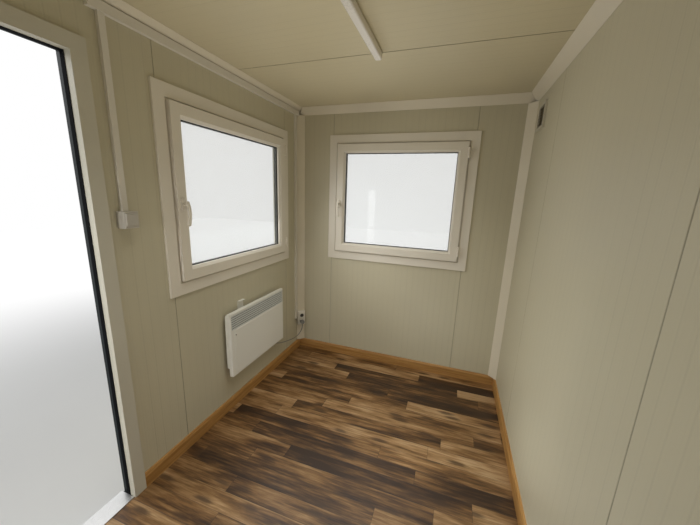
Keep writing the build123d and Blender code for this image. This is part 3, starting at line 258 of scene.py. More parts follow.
class Finish:
    """A material with one Principled shader; fixed numbers go straight onto its sockets."""

    def __init__(self, name, **fixed):
        self.material = bpy.data.materials.new(name)
        self.material.use_nodes = True
        self.tree = self.material.node_tree
        self.shader = self.tree.nodes["Principled BSDF"]
        for socket, value in fixed.items():
            self.shader.inputs[socket.replace("_", " ")].default_value = value

    def add(self, kind, settings=None, inputs=None, output=0):
        node = self.tree.nodes.new(kind)
        for key, value in (settings or {}).items():
            if key == "stops":
                ramp = node.color_ramp
                while len(ramp.elements) < len(value):
                    ramp.elements.new(0.5)
                for element, (place, colour) in zip(ramp.elements, value):
                    element.position, element.color = place, (*colour, 1)
            else:
                setattr(node, key, value)
        for key, value in (inputs or {}).items():
            if isinstance(value, Value):
                self.tree.links.new(value.socket, node.inputs[key])
            else:
                node.inputs[key].default_value = value
        return Value(self, node.outputs[output])

    def place(self):
        """Where a point lies in the cabin, as a vector."""
        return self.add("ShaderNodeTexCoord", output="Object")

    def split(self, vector):
        """The three numbers of a vector."""
        return [self.add("ShaderNodeSeparateXYZ", None, {0: vector}, output=k) for k in range(3)]

    def stretched(self, vector, factors):
        return self.add("ShaderNodeVectorMath", {"operation": "MULTIPLY"}, {0: vector, 1: factors})

    def chance(self, dimensions, inputs, output="Value"):
        """A random number or colour, always the same for the same inputs."""
        return self.add("ShaderNodeTexWhiteNoise", {"noise_dimensions": dimensions}, inputs, output)

    def cloud(self, vector, scale, detail=3.0, stretch=(1, 1, 1), roughness=0.5):
        """Soft noise from 0 to 1, stretched along the axes."""
        return self.add("ShaderNodeTexNoise", None, {"Vector": self.stretched(vector, stretch),
                                                     "Scale": scale, "Detail": detail,
                                                     "Roughness": roughness})

    def mix(self, share, first, second):
        """Blend of two colours, each fixed or worked out."""
        first, second = [c if isinstance(c, Value) else (*c, 1) for c in (first, second)]
        return self.add("ShaderNodeMix", {"data_type": "RGBA"}, {0: share, 6: first, 7: second},
                        output=2)

    def relief(self, height, depth):
        """Bump from a height between 0 and 1, depth in metres."""
        return self.add("ShaderNodeBump", None, {"Strength": 1.0, "Distance": depth, "Height": height})

    def set(self, **linked):
        """Link worked-out values to the shader, and hand over the material."""
        for socket, value in linked.items():
            self.tree.links.new(value.socket, self.shader.inputs[socket.replace("_", " ")])
        return self.material


def shade(tone, factor):
    """A colour made darker or paler by one factor."""
    return tuple(factor * c for c in tone)


def put_on(material, *pieces):
    """Give a material to nodes of the cabin by name, or to pieces made here."""
    for piece in pieces:
        item = nodes[piece] if isinstance(piece, str) else piece
        if not item.material_slots:
            item.data.materials.append(material)
        for place in item.material_slots:
            place.material = material


# %% [markdown]
# ## Wall and ceiling panels
# The panels have thin steel skins, coated grey-white and rolled with shallow lines every five
# centimetres. The lines are far finer than any mesh needs, so they are relief: a height that dips
# for a few millimetres in each pitch, and painted shade that darkens the colour in each dip. A faint
# cloud keeps the large plain faces alive.

# %% Lined coating
LINE_PITCH, LINE_RELIEF = 0.050, 0.0007
LINE_REACH, FAINT_REACH = 0.10, 0.22  # half widths, in pitches and in half pitches
SEAM_DARK, SEAM_PLAIN = 0.0016, 0.0032  # from the middle of a seam: fully dark, plain again
SEAM_TONE = (0.06, 0.05, 0.035)
PANEL_TONE = (0.575, 0.530, 0.390)
CEILING_TONE = (0.635, 0.565, 0.385)
CEILING_JOINTS = (-0.560, 0.590)


def lined_coating(name, axis, tone, joints=()):
    """Lines across one axis: a shallow dip in each pitch, and a fainter one on each side of it.

    The dips drift in depth from line to line, as rolled sheet does; joints are places where the
    edges of two panels fall away into a dark seam.
    """
    finish = Finish(name, Specular_IOR_Level=0.45)
    vector = finish.place()
    along = finish.split(vector)[axis]
    step = along / LINE_PITCH
    drift = finish.chance("1D", {"W": step.floor()})
    dip = 1.0 - (step.part() - 0.5).size().ease(0.0, LINE_REACH)
    faint = 1.0 - ((step * 2).part() - 0.5).size().ease(0.0, FAINT_REACH)
    patch = finish.cloud(vector, 1.1, 2.0)
    speck = finish.cloud(vector, 240.0, 1.0)
    colour = finish.mix(patch.ease(0.3, 0.7), shade(tone, 0.95), shade(tone, 1.03))
    # painted shade: the colour darkens in each dip, and a little in the fainter ones between
    colour = finish.mix(dip * (0.10 + drift * 0.14) + faint * 0.04, colour, shade(tone, 0.72))
    height = 1.0 - dip * (0.25 + drift * 0.35) - faint * 0.12 + speck * 0.03
    for joint in joints:
        seam = 1.0 - (along - joint).size().ease(SEAM_DARK, SEAM_PLAIN)
        colour = finish.mix(seam * 0.85, colour, SEAM_TONE)
        height = height - seam * 2.0
    rough = 0.40 + patch * 0.12 + speck * 0.05
    return finish.set(Base_Color=colour, Roughness=rough, Normal=finish.relief(height, LINE_RELIEF))


panels_along_x = lined_coating("lined coating of the long walls", 0, PANEL_TONE)
panels_along_y = lined_coating("lined coating of the end walls", 1, PANEL_TONE)
panels_above = lined_coating("lined coating of the ceiling", 0, CEILING_TONE, CEILING_JOINTS)
put_on(panels_along_x, "front_wall_corner", "front_wall_at_window", "front_wall_pier",
       "front_wall_right", "back_wall")
put_on(panels_along_y, "left_wall_sides", "left_wall_at_window", "right_wall")
put_on(panels_above, "ceiling_panels")

# %% [markdown]
# ## Coated white parts
# Coves, corner trims and door lining are folded from coated sheet; frames and boxes are moulded
# plastic. Both are white, one warmer and duller, the other smoother. A very fine unevenness in
# relief and gloss is what tells them from a flat colour.


# %% White finishes
def plain_coat(name, tone, gloss, grain=160.0, depth=0.00006, cloudiness=0.05, **fixed):
    """One colour that drifts a little from place to place, over a fine unevenness."""
    finish = Finish(name, **fixed)
    vector = finish.place()
    patch = finish.cloud(vector, 2.2)
    fine = finish.cloud(vector, grain, 2.0)
    colour = finish.mix(patch.ease(0.25, 0.75), shade(tone, 1 - cloudiness),
                        shade(tone, 1 + cloudiness * 0.6))
    rough = gloss + (patch - 0.5) * 0.08 + (fine - 0.5) * 0.06
    return finish.set(Base_Color=colour, Roughness=rough, Normal=finish.relief(fine, depth))


trim_white = plain_coat("white coated sheet", (0.735, 0.670, 0.535), 0.42)
frame_white = plain_coat("white window plastic", (0.775, 0.722, 0.625), 0.30, 90.0, 0.00004, 0.03)
box_white = plain_coat("white moulded plastic", (0.74, 0.70, 0.62), 0.34, 300.0, 0.00004, 0.03)
heater_white = plain_coat("white powder coat", (0.82, 0.81, 0.75), 0.38, 900.0, 0.00008, 0.03)
leaf_white = plain_coat("white door paint", (0.76, 0.75, 0.71), 0.35, 140.0, 0.00008, 0.03)
opal = plain_coat("opal cover", (0.80, 0.76, 0.70), 0.28, 300.0, 0.00003, 0.02)
lining_white = plain_coat("door lining", (0.60, 0.57, 0.475), 0.55, Specular_IOR_Level=0.2)
put_on(trim_white, "ceiling_trims", "corner_trims")
put_on(lining_white, "door_casing")
put_on(frame_white, "front_window_frame", "front_window_sash", "front_window_casing",
       "left_window_frame", "left_window_sash", "left_window_casing", "window_handles",
       "window_hinges", "window_outer_trims")
put_on(box_white, "cable_trunking", "socket_box", "lamp_body")
# painted shade: the switch is white like the trims; its tone is lowered for a face turned from the
# light
switch_white_painted_shade = plain_coat("switch plastic darkened by painted shade", (0.50, 0.47, 0.415), 0.36, 300.0, 0.00004, 0.03)
put_on(switch_white_painted_shade, "light_switch")
put_on(heater_white, "heater_body")
put_on(leaf_white, "door_leaf")
put_on(opal, "lamp_diffuser")


# %% [markdown]
# ## Dark steel, zinc, rubber and aluminium
# Posts, fascias and door frame are anthracite with the slight orange peel of sprayed paint. What the
# weather reaches on the roof is zinc, whose crystals show as pale and dark flakes.

# %% Outside metals and rubber
steel_dark = plain_coat("anthracite paint", (0.018, 0.023, 0.025), 0.60, 260.0, 0.00012, 0.18,
                        Specular_IOR_Level=0.15)
handle_dark = plain_coat("dark handle coat", (0.030, 0.031, 0.034), 0.36, 400.0, 0.00005, 0.10)
rubber = plain_coat("black seal rubber", (0.006, 0.006, 0.007), 0.85, 500.0, 0.00010, 0.20,
                    Specular_IOR_Level=0.04)
flex_grey = plain_coat("grey flex", (0.25, 0.25, 0.225), 0.50, 600.0, 0.00004, 0.10)
raw_board = plain_coat("raw floor board", (0.42, 0.30, 0.18), 0.75, 60.0, 0.0004, 0.20)
put_on(steel_dark, "corner_posts", "base_beams", "roof_beams", "door_frame")
put_on(handle_dark, "door_handles")
put_on(rubber, "door_seal")
put_on(flex_grey, flex, "heater_plug")
put_on(raw_board, "floor_board")


def zinc_coat(name, tone):
    """Zinc flakes: each cell of a Voronoi pattern has its own grey and gloss."""
    finish = Finish(name, Metallic=0.75)
    vector = finish.place()
    cell = finish.add("ShaderNodeTexVoronoi", None, {"Vector": vector, "Scale": 70.0}, "Color")
    flake = finish.add("ShaderNodeSeparateColor", None, {0: cell})
    stain = finish.cloud(vector, 3.0, 4.0)
    colour = finish.mix(flake * 0.5 + stain * 0.3, tone, shade(tone, 0.72))
    return finish.set(Base_Color=colour, Roughness=0.38 + flake * 0.14 + stain * 0.08,
                      Normal=finish.relief(stain, 0.0004))


zinc = zinc_coat("zinc coated steel", (0.56, 0.58, 0.59))
put_on(zinc, "roof_deck", "roof_gutter", "roof_purlins", "floor_joists", "floor_underside")
put_on(heater_white, "heater_bracket")


def brushed_metal(name, tone, stretch, rib=None):
    """Fine scratches along one direction, and ribs where rib gives their axis and pitch."""
    finish = Finish(name, Metallic=1.0)
    vector = finish.place()
    scratch = finish.cloud(vector, 60.0, 4.0, stretch)
    height = scratch * 0.2
    if rib:
        axis, pitch = rib
        height = height + ((finish.split(vector)[axis] / pitch).part() - 0.5).size().ease(0.15, 0.3)
    return finish.set(Base_Color=finish.mix(scratch, shade(tone, 0.85), tone),
                      Roughness=0.26 + scratch * 0.14, Normal=finish.relief(height, 0.0005))


threshold_metal = brushed_metal("ribbed aluminium", (0.80, 0.80, 0.79), (0.3, 9, 9), (1, 0.010))
hinge_metal = brushed_metal("hinge steel", (0.56, 0.56, 0.55), (6, 6, 0.5))
put_on(threshold_metal, "door_threshold")
put_on(hinge_metal, "door_hinge_pins", "door_hinge_leaves")

# %% [markdown]
# ## The laid floor
# The laminate imitates strips of wood just under ten centimetres wide that run across the room. Each
# strip is made of boards whose ends never line up. Each board has its own tone, broad bands of
# heartwood, narrow streaks, fine lines and now and then a knot, all drawn out along the board. Strip
# and board numbers are whole parts of the place; random numbers made from them choose the tone,
# shift the board ends and move the grain, so no two boards match.

# %% Laminate
STRIP_WIDTH, BOARD_LENGTH = 0.0975, 1.05
JOINT_DARK, JOINT_PLAIN = 0.0002, 0.0018  # from a board's edge: fully dark, plain again
WOOD_TONES = [(0.0, (0.026, 0.011, 0.004)), (0.25, (0.072, 0.032, 0.009)),
              (0.50, (0.175, 0.086, 0.027)), (0.76, (0.300, 0.170, 0.070)),
              (1.0, (0.420, 0.270, 0.135))]
FIBRE_TONE, JOINT_TONE = (0.040, 0.019, 0.008), (0.018, 0.011, 0.007)
BOARD_SHIFT, GRAIN_SHIFT = 3.1, (4, 9, 2)  # how far chance moves board ends and grain


def near_edge(count, size):
    """1 at the edge of a strip or board and 0 on its face; count is the place in sizes."""
    distance = (count.part() - 0.5).size() * size
    return distance.ease(size / 2 - JOINT_PLAIN, size / 2 - JOINT_DARK)


def laminate():
    """Strip = whole part of x over its width; board = whole part of y, shifted per strip."""
    finish = Finish("strip laminate", Specular_IOR_Level=0.45, Coat_Weight=0.15, Coat_Roughness=0.25)
    vector = finish.place()
    x, y, _ = finish.split(vector)
    across = (x + ROOM_X) / STRIP_WIDTH
    strip = across.floor()
    shift = finish.chance("1D", {"W": strip + 0.5})
    along = (y + shift * BOARD_SHIFT) / BOARD_LENGTH
    board = along.floor()
    key = finish.add("ShaderNodeCombineXYZ", None, {0: strip + 7.5, 1: board + 3.5, 2: 0.5})
    tone = finish.chance("3D", {"Vector": key})
    jump = finish.chance("3D", {"Vector": key}, "Color")
    moved = finish.add("ShaderNodeVectorMath", {"operation": "MULTIPLY_ADD"},
                       {0: jump, 1: GRAIN_SHIFT, 2: vector})
    band = finish.cloud(moved, 1.0, 3.0, (13, 2.2, 1), 0.5)
    streak = finish.cloud(moved, 1.0, 6.0, (44, 4.6, 1), 0.66)
    line = finish.cloud(moved, 1.0, 3.0, (100, 4.4, 1), 0.6)
    fibre = finish.cloud(moved, 1.0, 3.0, (360, 12, 1), 0.6)
    spot = finish.add("ShaderNodeTexVoronoi", {"voronoi_dimensions": "2D"},
                      {"Vector": finish.stretched(moved, (9, 2.4, 1)), "Scale": 1.0})
    knot = 1.0 - (spot + (streak - 0.5) * 0.16).ease(0.05, 0.20)
    level = tone * 0.62 + (band - 0.5) * 1.6 + (streak - 0.5) * 1.1 + (line - 0.5) * 0.8 + 0.13
    base = finish.add("ShaderNodeValToRGB", {"stops": WOOD_TONES}, {0: level})
    dark = (fibre.ease(0.45, 0.75) * 0.26).larger(knot * 0.75)
    colour = finish.mix(dark, base, FIBRE_TONE)
    joint = near_edge(across, STRIP_WIDTH).larger(near_edge(along, BOARD_LENGTH))
    colour = finish.mix(joint * 0.62, colour, JOINT_TONE)
    return finish.set(Base_Color=colour, Roughness=0.36 + fibre * 0.16 + joint * 0.2,
                      Normal=finish.relief(1.0 - joint - fibre * 0.12, 0.0005))


put_on(laminate(), "laminate_floor")

# %% [markdown]
# ## Skirting
# The skirting is orange-brown wood. Its grain follows each board, so the long walls stretch the
# pattern along x and the end walls along y; which one holds is read from how near the point is to a
# long wall.


# %% Skirting wood
SKIRTING_REACH = 0.0155  # from a wall's face, just past the front of its skirting


def skirting_wood():
    """Streaks stretched along the board, chosen by the wall the board stands on."""
    finish = Finish("skirting wood", Specular_IOR_Level=0.4)
    vector = finish.place()
    x, y, z = finish.split(vector)
    long_wall = y.size() > ROOM_Y - SKIRTING_REACH
    swapped = finish.add("ShaderNodeCombineXYZ", None, {0: y, 1: x, 2: z})
    turned = finish.add("ShaderNodeMix", {"data_type": "VECTOR"},
                        {0: long_wall, 4: swapped, 5: vector}, output=1)
    streak = finish.cloud(turned, 9.0, 5.0, (0.35, 3, 9), 0.6)
    fibre = finish.cloud(turned, 45.0, 3.0, (0.25, 3, 7), 0.6)
    colour = finish.mix(streak.ease(0.3, 0.7), (0.330, 0.160, 0.042), (0.480, 0.262, 0.084))
    colour = finish.mix(fibre.ease(0.5, 0.8) * 0.4, colour, (0.215, 0.092, 0.022))
    return finish.set(Base_Color=colour, Roughness=0.40 + fibre * 0.15,
                      Normal=finish.relief(fibre, 0.0003))


put_on(skirting_wood(), "skirting_boards")

# %% [markdown]
# ## Window glass and its seals
# A sealed unit is two panes with a spacer between them, held by black gaskets. Seen from the room, the
# gasket draws the thin dark line round the view, so it matters more than its three millimetres
# suggest. Both windows are alike: every piece is worked out in window measures and then seated
# in the front wall or the end wall.

# %% Where the windows sit
sash_low, sash_high = [np.array(v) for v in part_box("front_window_sash")]
PANE_EDGE, BEAD = 0.072, 0.016  # width of the sash round the pane, and the bevelled part of it
SASH_HALF = (sash_high[[0, 2]] - sash_low[[0, 2]]) / 2
PANE_HALF = SASH_HALF - PANE_EDGE
FRONT_MIDDLE = (sash_low + sash_high) / 2
left_low, left_high = [np.array(v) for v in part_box("left_window_sash")]
LEFT_MIDDLE = (left_low + left_high) / 2
FRONT_FACE, LEFT_FACE = -ROOM_Y, -ROOM_X
GLASS_BACK, GLASS_FRONT = -0.028, -0.004  # outer and inner side of the unit, from the wall's face
print("pane", PANE_HALF * 2, "front middle", FRONT_MIDDLE, "left middle", LEFT_MIDDLE)


def in_front_wall(p):
    """(across, depth into the room, up) to the cabin, for the window beside the door."""
    return np.stack([FRONT_MIDDLE[0] + p[:, 0], FRONT_FACE + p[:, 1],
                     FRONT_MIDDLE[2] + p[:, 2]], -1)


def in_left_wall(p):
    """The same for the end window, whose closing side points towards the front wall."""
    return np.stack([LEFT_FACE + p[:, 1], LEFT_MIDDLE[1] - p[:, 0], LEFT_MIDDLE[2] + p[:, 2]], -1)


# %% Clear glass, spacer and gasket finishes
glass = Finish("clear glass", Base_Color=(0.80, 0.88, 0.88, 1), Alpha=0.10, Specular_IOR_Level=0.6)
glass.set(Roughness=0.02 + glass.cloud(glass.place(), 3.0).ease(0.4, 0.9) * 0.06)
glass.material.surface_render_method = "BLENDED"
spacer_grey = plain_coat("black spacer bar", (0.012, 0.012, 0.013), 0.55, 300.0, 0.00003, 0.05)

PANE_THICKNESS, PANE_EASE, PANE_HOLD = 0.004, 0.0015, 0.009  # the last: how far the sash grips it
SPACER_EDGES = (-0.006, 0.0045)  # inward from the sash's opening: outer, inner side
LIP_MIDDLE, LIP_HALF_WIDTH, LIP_HALF_RISE, LIP_SHIFT = -0.0008, 0.0034, 0.0019, 0.0015


def pane(outer, inner, seat):
    """Flat pane with an eased edge: four points carried round it, and a large face on each side."""
    edge = [(PANE_EASE, outer), (0, outer + PANE_EASE), (0, inner - PANE_EASE), (PANE_EASE, inner)]
    points, _ = outline_ring(*(PANE_HALF + PANE_HOLD), edge, seat)
    return points, grid_faces(4, 4, True) + [[0, 4, 8, 12], [15, 11, 7, 3]]


def gasket_outline(depth, lean):
    """Soft lip from the glass to the bead: eight points of an ellipse, lean 1 inside, -1 outside."""
    turn = np.linspace(0, 2 * np.pi, 8, endpoint=False)
    return np.stack([LIP_MIDDLE + LIP_HALF_WIDTH * np.cos(turn),
                     depth + lean * LIP_SHIFT + LIP_HALF_RISE * np.sin(turn)], -1)


for place, seat, node in (("front", in_front_wall, "front_window_glass"),
                          ("left", in_left_wall, "left_window_glass")):
    between = GLASS_BACK + PANE_THICKNESS, GLASS_FRONT - PANE_THICKNESS
    points, faces = join_parts([pane(GLASS_BACK, between[0], seat),
                                pane(between[1], GLASS_FRONT, seat)])
    panes = outward(mesh_piece(place + "_window_panes", points, faces))
    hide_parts(node)
    put_on(glass.material, panes)
    flat = [(SPACER_EDGES[0], between[0]), (SPACER_EDGES[0], between[1]),
            (SPACER_EDGES[1], between[1]), (SPACER_EDGES[1], between[0])]
    spacer = outward(mesh_piece(place + "_window_spacer", *outline_ring(*PANE_HALF, flat, seat)))
    put_on(spacer_grey, spacer)
    lips = [outline_ring(*PANE_HALF, gasket_outline(depth, lean), seat)
            for depth, lean in ((GLASS_FRONT, 1), (GLASS_BACK, -1))]
    gasket = outward(mesh_piece(place + "_glass_gasket", *join_parts(lips), smooth=True))
    put_on(rubber, gasket)

# %% [markdown]
# ## Joints between the wall panels
# Two panels meet with rolled lips, so a joint looks like a shallow V and not like an open slit. Each
# lip pair is a long bar whose outline is that V, set in the gap just behind the face of the wall.

# %% Shallow V in every wall joint
GAP, LIP, VALLEY, ROOT = 0.0024, 0.0007, 0.0026, 0.0042
FLOOR_TOP, CEILING_UNDER = 0.122, 2.372
BELOW_WINDOW, ABOVE_WINDOW = 1.102, 2.126
BACK_JOINTS, FRONT_JOINTS, LEFT_JOINTS = (-0.824, 0.326), (-1.172, -0.022), (-0.590, 0.560)
v_outline = np.array([(-GAP, -LIP), (0, -VALLEY), (GAP, -LIP), (GAP, -ROOT), (-GAP, -ROOT)])


def wall_joint(middle, inward, low, high):
    """Bar standing at middle; inward is the direction from the wall into the room."""
    inward = np.asarray(inward, float)
    aside = np.cross(UP, inward)
    outline = v_outline[:, :1] * aside + v_outline[:, 1:] * inward
    return bar(outline, (*middle, low), (0, 0, high - low))


parts = [wall_joint((x, ROOM_Y), (0, -1, 0), FLOOR_TOP, CEILING_UNDER) for x in BACK_JOINTS]
for low, high in ((FLOOR_TOP, BELOW_WINDOW), (ABOVE_WINDOW, CEILING_UNDER)):
    parts += [wall_joint((x, -ROOM_Y), (0, 1, 0), low, high) for x in FRONT_JOINTS]
    parts += [wall_joint((-ROOM_X, y), (1, 0, 0), low, high) for y in LEFT_JOINTS]
lips = outward(mesh_piece("panel_joint_lips", *join_parts(parts)))
put_on(plain_coat("panel lips", shade(PANEL_TONE, 0.72), 0.5), lips)
print("panel joints", len(parts), "bars")

# %% [markdown]
# ## Soft small shapes
# Levers, knobs and sleeves have no hard edges. They are rings carried along a path: each ring is a
# superellipse, an outline between circle and rectangle, and its two half sizes may change on the way.
# Where they shrink to almost nothing the shape closes in a round end.


# %% Rings along a path
def rounded(half_a, half_b, count, power):
    """Closed outline between a circle and a rectangle: |x/a|^p + |y/b|^p = 1."""
    turn = np.linspace(0, 2 * np.pi, count, endpoint=False)
    c, s = np.cos(turn), np.sin(turn)
    return np.stack([half_a * np.sign(c) * np.abs(c) ** (2 / power),
                     half_b * np.sign(s) * np.abs(s) ** (2 / power)], -1)


def along_path(path, side, half_a, half_b, count, power):
    """Rings on a path: half_a lies along side, half_b at right angles to side and path."""
    path = np.asarray(path, float)
    ahead = np.gradient(path, axis=0)
    ahead /= np.linalg.norm(ahead, axis=1)[:, None]
    a_dir = side - ahead * (ahead @ side)[:, None]
    a_dir /= np.linalg.norm(a_dir, axis=1)[:, None]
    b_dir = np.cross(ahead, a_dir)
    unit = rounded(1, 1, count, power)
    half_a, half_b = np.broadcast_to(half_a, len(path)), np.broadcast_to(half_b, len(path))
    points = (path[:, None] + a_dir[:, None] * (half_a[:, None] * unit[None, :, 0])[..., None]
              + b_dir[:, None] * (half_b[:, None] * unit[None, :, 1])[..., None])
    last = (len(path) - 1) * count
    ends = [list(range(count))[::-1], list(range(last, last + count))]
    return points.reshape(-1, 3), grid_faces(len(path), count, False, True) + ends


def straight_out(start, reach, side=1):
    """Path from start along y, towards side, with one point for each reach."""
    return start + side * np.stack([0 * reach, reach, 0 * reach], -1)


def round_ends(count, soft):
    """Factor along a path that rises from 0 to 1 like a quarter circle at both ends."""
    u = np.linspace(0, 1, count)
    near = np.clip(np.minimum(u, 1 - u) / soft, 0, 1)
    return np.sqrt(np.clip(1 - (1 - near) ** 2, 0.0004, 1))


def bow(corners, count):
    """Smooth line through the middles of a row of corners: a quadratic B-spline."""
    corners = np.asarray(corners, float)
    corners = np.concatenate([2 * corners[:1] - corners[1:2], corners,
                              2 * corners[-1:] - corners[-2:-1]])
    u = np.linspace(0, len(corners) - 2 - 1e-9, count)
    k, t = u.astype(int), (u % 1)[:, None]
    a, b, c = corners[k], corners[k + 1], corners[k + 2]
    return 0.5 * (1 - t) ** 2 * a + (0.5 + t - t * t) * b + 0.5 * t * t * c


# %% [markdown]
# ## Window handles
# Each window has one white lever on the closing stile: a rounded rose, a short neck, and a lever that
# bends out of the neck and hangs down, growing slightly wider towards its end.

# %% Levers of both windows
SASH_DEPTH_FACE = float(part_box("front_window_sash")[1][1]) - FRONT_FACE
HANDLE_X = float(SASH_HALF[0]) - (PANE_EDGE - BEAD) / 2
SPINDLE_DROP = 0.040  # below the middle of the window
ROSE_HALF_WIDTH, ROSE_HALF_HEIGHT, NECK_RADIUS = 0.014, 0.034, 0.0088
LEVER_HALF_WIDTH, LEVER_GROWTH, LEVER_HALF_THICKNESS, LEVER_RINGS = 0.0085, 0.0020, 0.0065, 34
LEVER_CORNERS = [(0, 0.033, 0.012), (0, 0.037, 0.004), (0, 0.044, -0.020), (0, 0.046, -0.050),
                 (0, 0.040, -0.084), (0, 0.036, -0.106)]


def window_lever(seat):
    """Rose, neck and lever in window measures."""
    spot = np.array([HANDLE_X, SASH_DEPTH_FACE, -SPINDLE_DROP])
    rise = np.array([0, 0.0005, 0.006, 0.0095, 0.011, 0.0112])
    shrink = np.array([1.0, 1.0, 1.0, 0.97, 0.88, 0.30])
    rose = along_path(straight_out(spot, rise), ACROSS, ROSE_HALF_WIDTH * shrink,
                      ROSE_HALF_HEIGHT * shrink, 24, 3.2)
    neck = along_path(straight_out(spot, np.array([0.009, 0.030, 0.040])), ACROSS, NECK_RADIUS,
                      NECK_RADIUS, 20, 2)
    grow = LEVER_HALF_WIDTH + LEVER_GROWTH * np.linspace(0, 1, LEVER_RINGS)
    ends = round_ends(LEVER_RINGS, 0.10)
    lever = along_path(spot + bow(LEVER_CORNERS, LEVER_RINGS), ACROSS, grow * ends,
                       LEVER_HALF_THICKNESS * ends, 18, 2.8)
    points, faces = join_parts([rose, neck, lever])
    return seat(points), faces


both = join_parts([window_lever(in_front_wall), window_lever(in_left_wall)])
levers = outward(mesh_piece("window_levers", *both, smooth=True))
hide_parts("window_handles")
put_on(frame_white, levers)
print("levers", len(levers.data.polygons), "faces")

# %% [markdown]
# ## Door handles
# The leaf carries a dark long plate with a lever and a lock cylinder on both faces. The leaf is drawn
# standing open, so the pieces are worked out on the closed leaf and then turned about the hinge line.

# %% Plates, levers and lock cylinder
HINGE_LINE, LEAF_TURN = np.array([1.194, -1.015]), math.radians(100)
LEAF_OUT, LEAF_IN = -1.020, -0.972  # the faces of the closed leaf
SPINDLE = np.array([0.379, 0, 1.170])
PLATE_DROP, LOCK_DROP = 0.040, 0.092  # plate's middle and lock, below the spindle
PLATE_HALF_WIDTH, PLATE_HALF_HEIGHT = 0.020, 0.110
GRIP_HALF_HEIGHT, GRIP_HALF_THICKNESS, GRIP_RINGS = 0.0095, 0.0075, 36


def on_open_leaf(points):
    """Turn points of the closed leaf about the upright hinge line."""
    flat = points[:, :2] - HINGE_LINE
    c, s = math.cos(LEAF_TURN), math.sin(LEAF_TURN)
    return np.c_[HINGE_LINE[0] + c * flat[:, 0] - s * flat[:, 1],
                 HINGE_LINE[1] + s * flat[:, 0] + c * flat[:, 1], points[:, 2]]


def door_handle(face, out):
    """Plate, neck, lever and half a lock cylinder on one face; out is the side it stands on."""
    start = SPINDLE + np.array([0, face, 0])
    rise = np.array([0, 0.0005, 0.005, 0.0072, 0.0080])
    shrink = np.array([1.0, 1.0, 1.0, 0.97, 0.86])
    plate = along_path(straight_out(start - PLATE_DROP * UP, rise, out), ACROSS,
                       PLATE_HALF_WIDTH * shrink, PLATE_HALF_HEIGHT * shrink, 28, 5)
    neck_radius = [0.013, 0.013, 0.0095, 0.0095]
    neck = along_path(straight_out(start, np.array([0.006, 0.012, 0.014, 0.044]), out), ACROSS,
                      neck_radius, neck_radius, 20, 2)
    corners = [(0, out * 0.030, 0), (0, out * 0.047, 0), (0.012, out * 0.049, 0),
               (0.060, out * 0.049, 0), (0.108, out * 0.048, 0), (0.114, out * 0.047, 0)]
    ends = round_ends(GRIP_RINGS, 0.08)
    lever = along_path(start + bow(corners, GRIP_RINGS), UP, GRIP_HALF_HEIGHT * ends,
                       GRIP_HALF_THICKNESS * ends, 18, 2.6)
    deep = np.array([0.006, 0.0115, 0.0118])
    lock = along_path(straight_out(start - LOCK_DROP * UP, deep, out), ACROSS,
                      [0.0085, 0.0085, 0.0078], [0.0165, 0.0165, 0.0158], 20, 2.4)
    return join_parts([plate, neck, lever]), lock


sides = [door_handle(LEAF_IN, 1), door_handle(LEAF_OUT, -1)]
points, faces = join_parts([side[0] for side in sides])
furniture = outward(mesh_piece("door_furniture", on_open_leaf(points), faces, True, "door"))
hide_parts("door_handles")
put_on(handle_dark, furniture)
points, faces = join_parts([side[1] for side in sides])
locks = outward(mesh_piece("lock_cylinders", on_open_leaf(points), faces, True, "door"))
put_on(hinge_metal, locks)

# %% [markdown]
# ## Heater front
# The outlet of the convector is a field of small upright slots in six rows: thin stays crossed by
# flat bands, with a dark sheet behind them that is painted shade for the white inside of the case.
# From a few steps away it reads as a woven grey strip, so the openings have their real number. Below
# it the plate stands a little proud of the case, which draws a fine line near both ends, and a small
# round pilot sits in its upper near corner.

# %% Slotted outlet and painted shade behind it
grille_low, grille_high = [np.array(v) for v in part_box("heater_grille")]
case_low, case_high = [np.array(v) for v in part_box("heater_body")]
SLOT_PITCH, ROWS, SLOT_HEIGHT, STAY = 0.0115, 6, 0.0062, 0.0034
STAY_DEPTH, BAND_DEPTH = 0.0012, 0.0011  # middle of stays and bands behind the outlet's face
STAY_HALF, BAND_HALF, TUCK = 0.0008, 0.0007, 0.0005  # half thicknesses, and their ends' setback
SHADE_SHEET_INSET, SHADE_SHEET_BEHIND, SHADE_SHEET_THICKNESS = 0.003, 0.002, 0.001
span = grille_high - grille_low
face = grille_high[1]
columns = int(round(span[0] / SLOT_PITCH))
band_height = span[2] / (ROWS + 0.5) - SLOT_HEIGHT
upright = np.c_[rounded(STAY / 2, STAY_HALF, 8, 3), np.zeros(8)]
flat_band = np.c_[np.zeros(8), rounded(BAND_HALF, band_height / 2, 8, 3)]
stays = grille_low[0] + STAY / 2 + np.linspace(0, span[0] - STAY, columns + 1)
bands = grille_low[2] + band_height / 2 + np.linspace(0, span[2] - band_height, ROWS + 1)
parts = [bar(upright, (x, face - STAY_DEPTH, grille_low[2] + TUCK), (0, 0, span[2] - 2 * TUCK))
         for x in stays]
parts += [bar(flat_band, (grille_low[0] + TUCK, face - BAND_DEPTH, z), (span[0] - 2 * TUCK, 0, 0))
          for z in bands]
outlet = outward(mesh_piece("heater_outlet", *join_parts(parts)))
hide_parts("heater_grille")
grille_grey = plain_coat("grey grille coat", (0.64, 0.665, 0.645), 0.42, 500.0, 0.00004, 0.06)
put_on(grille_grey, outlet, "heater_grille")
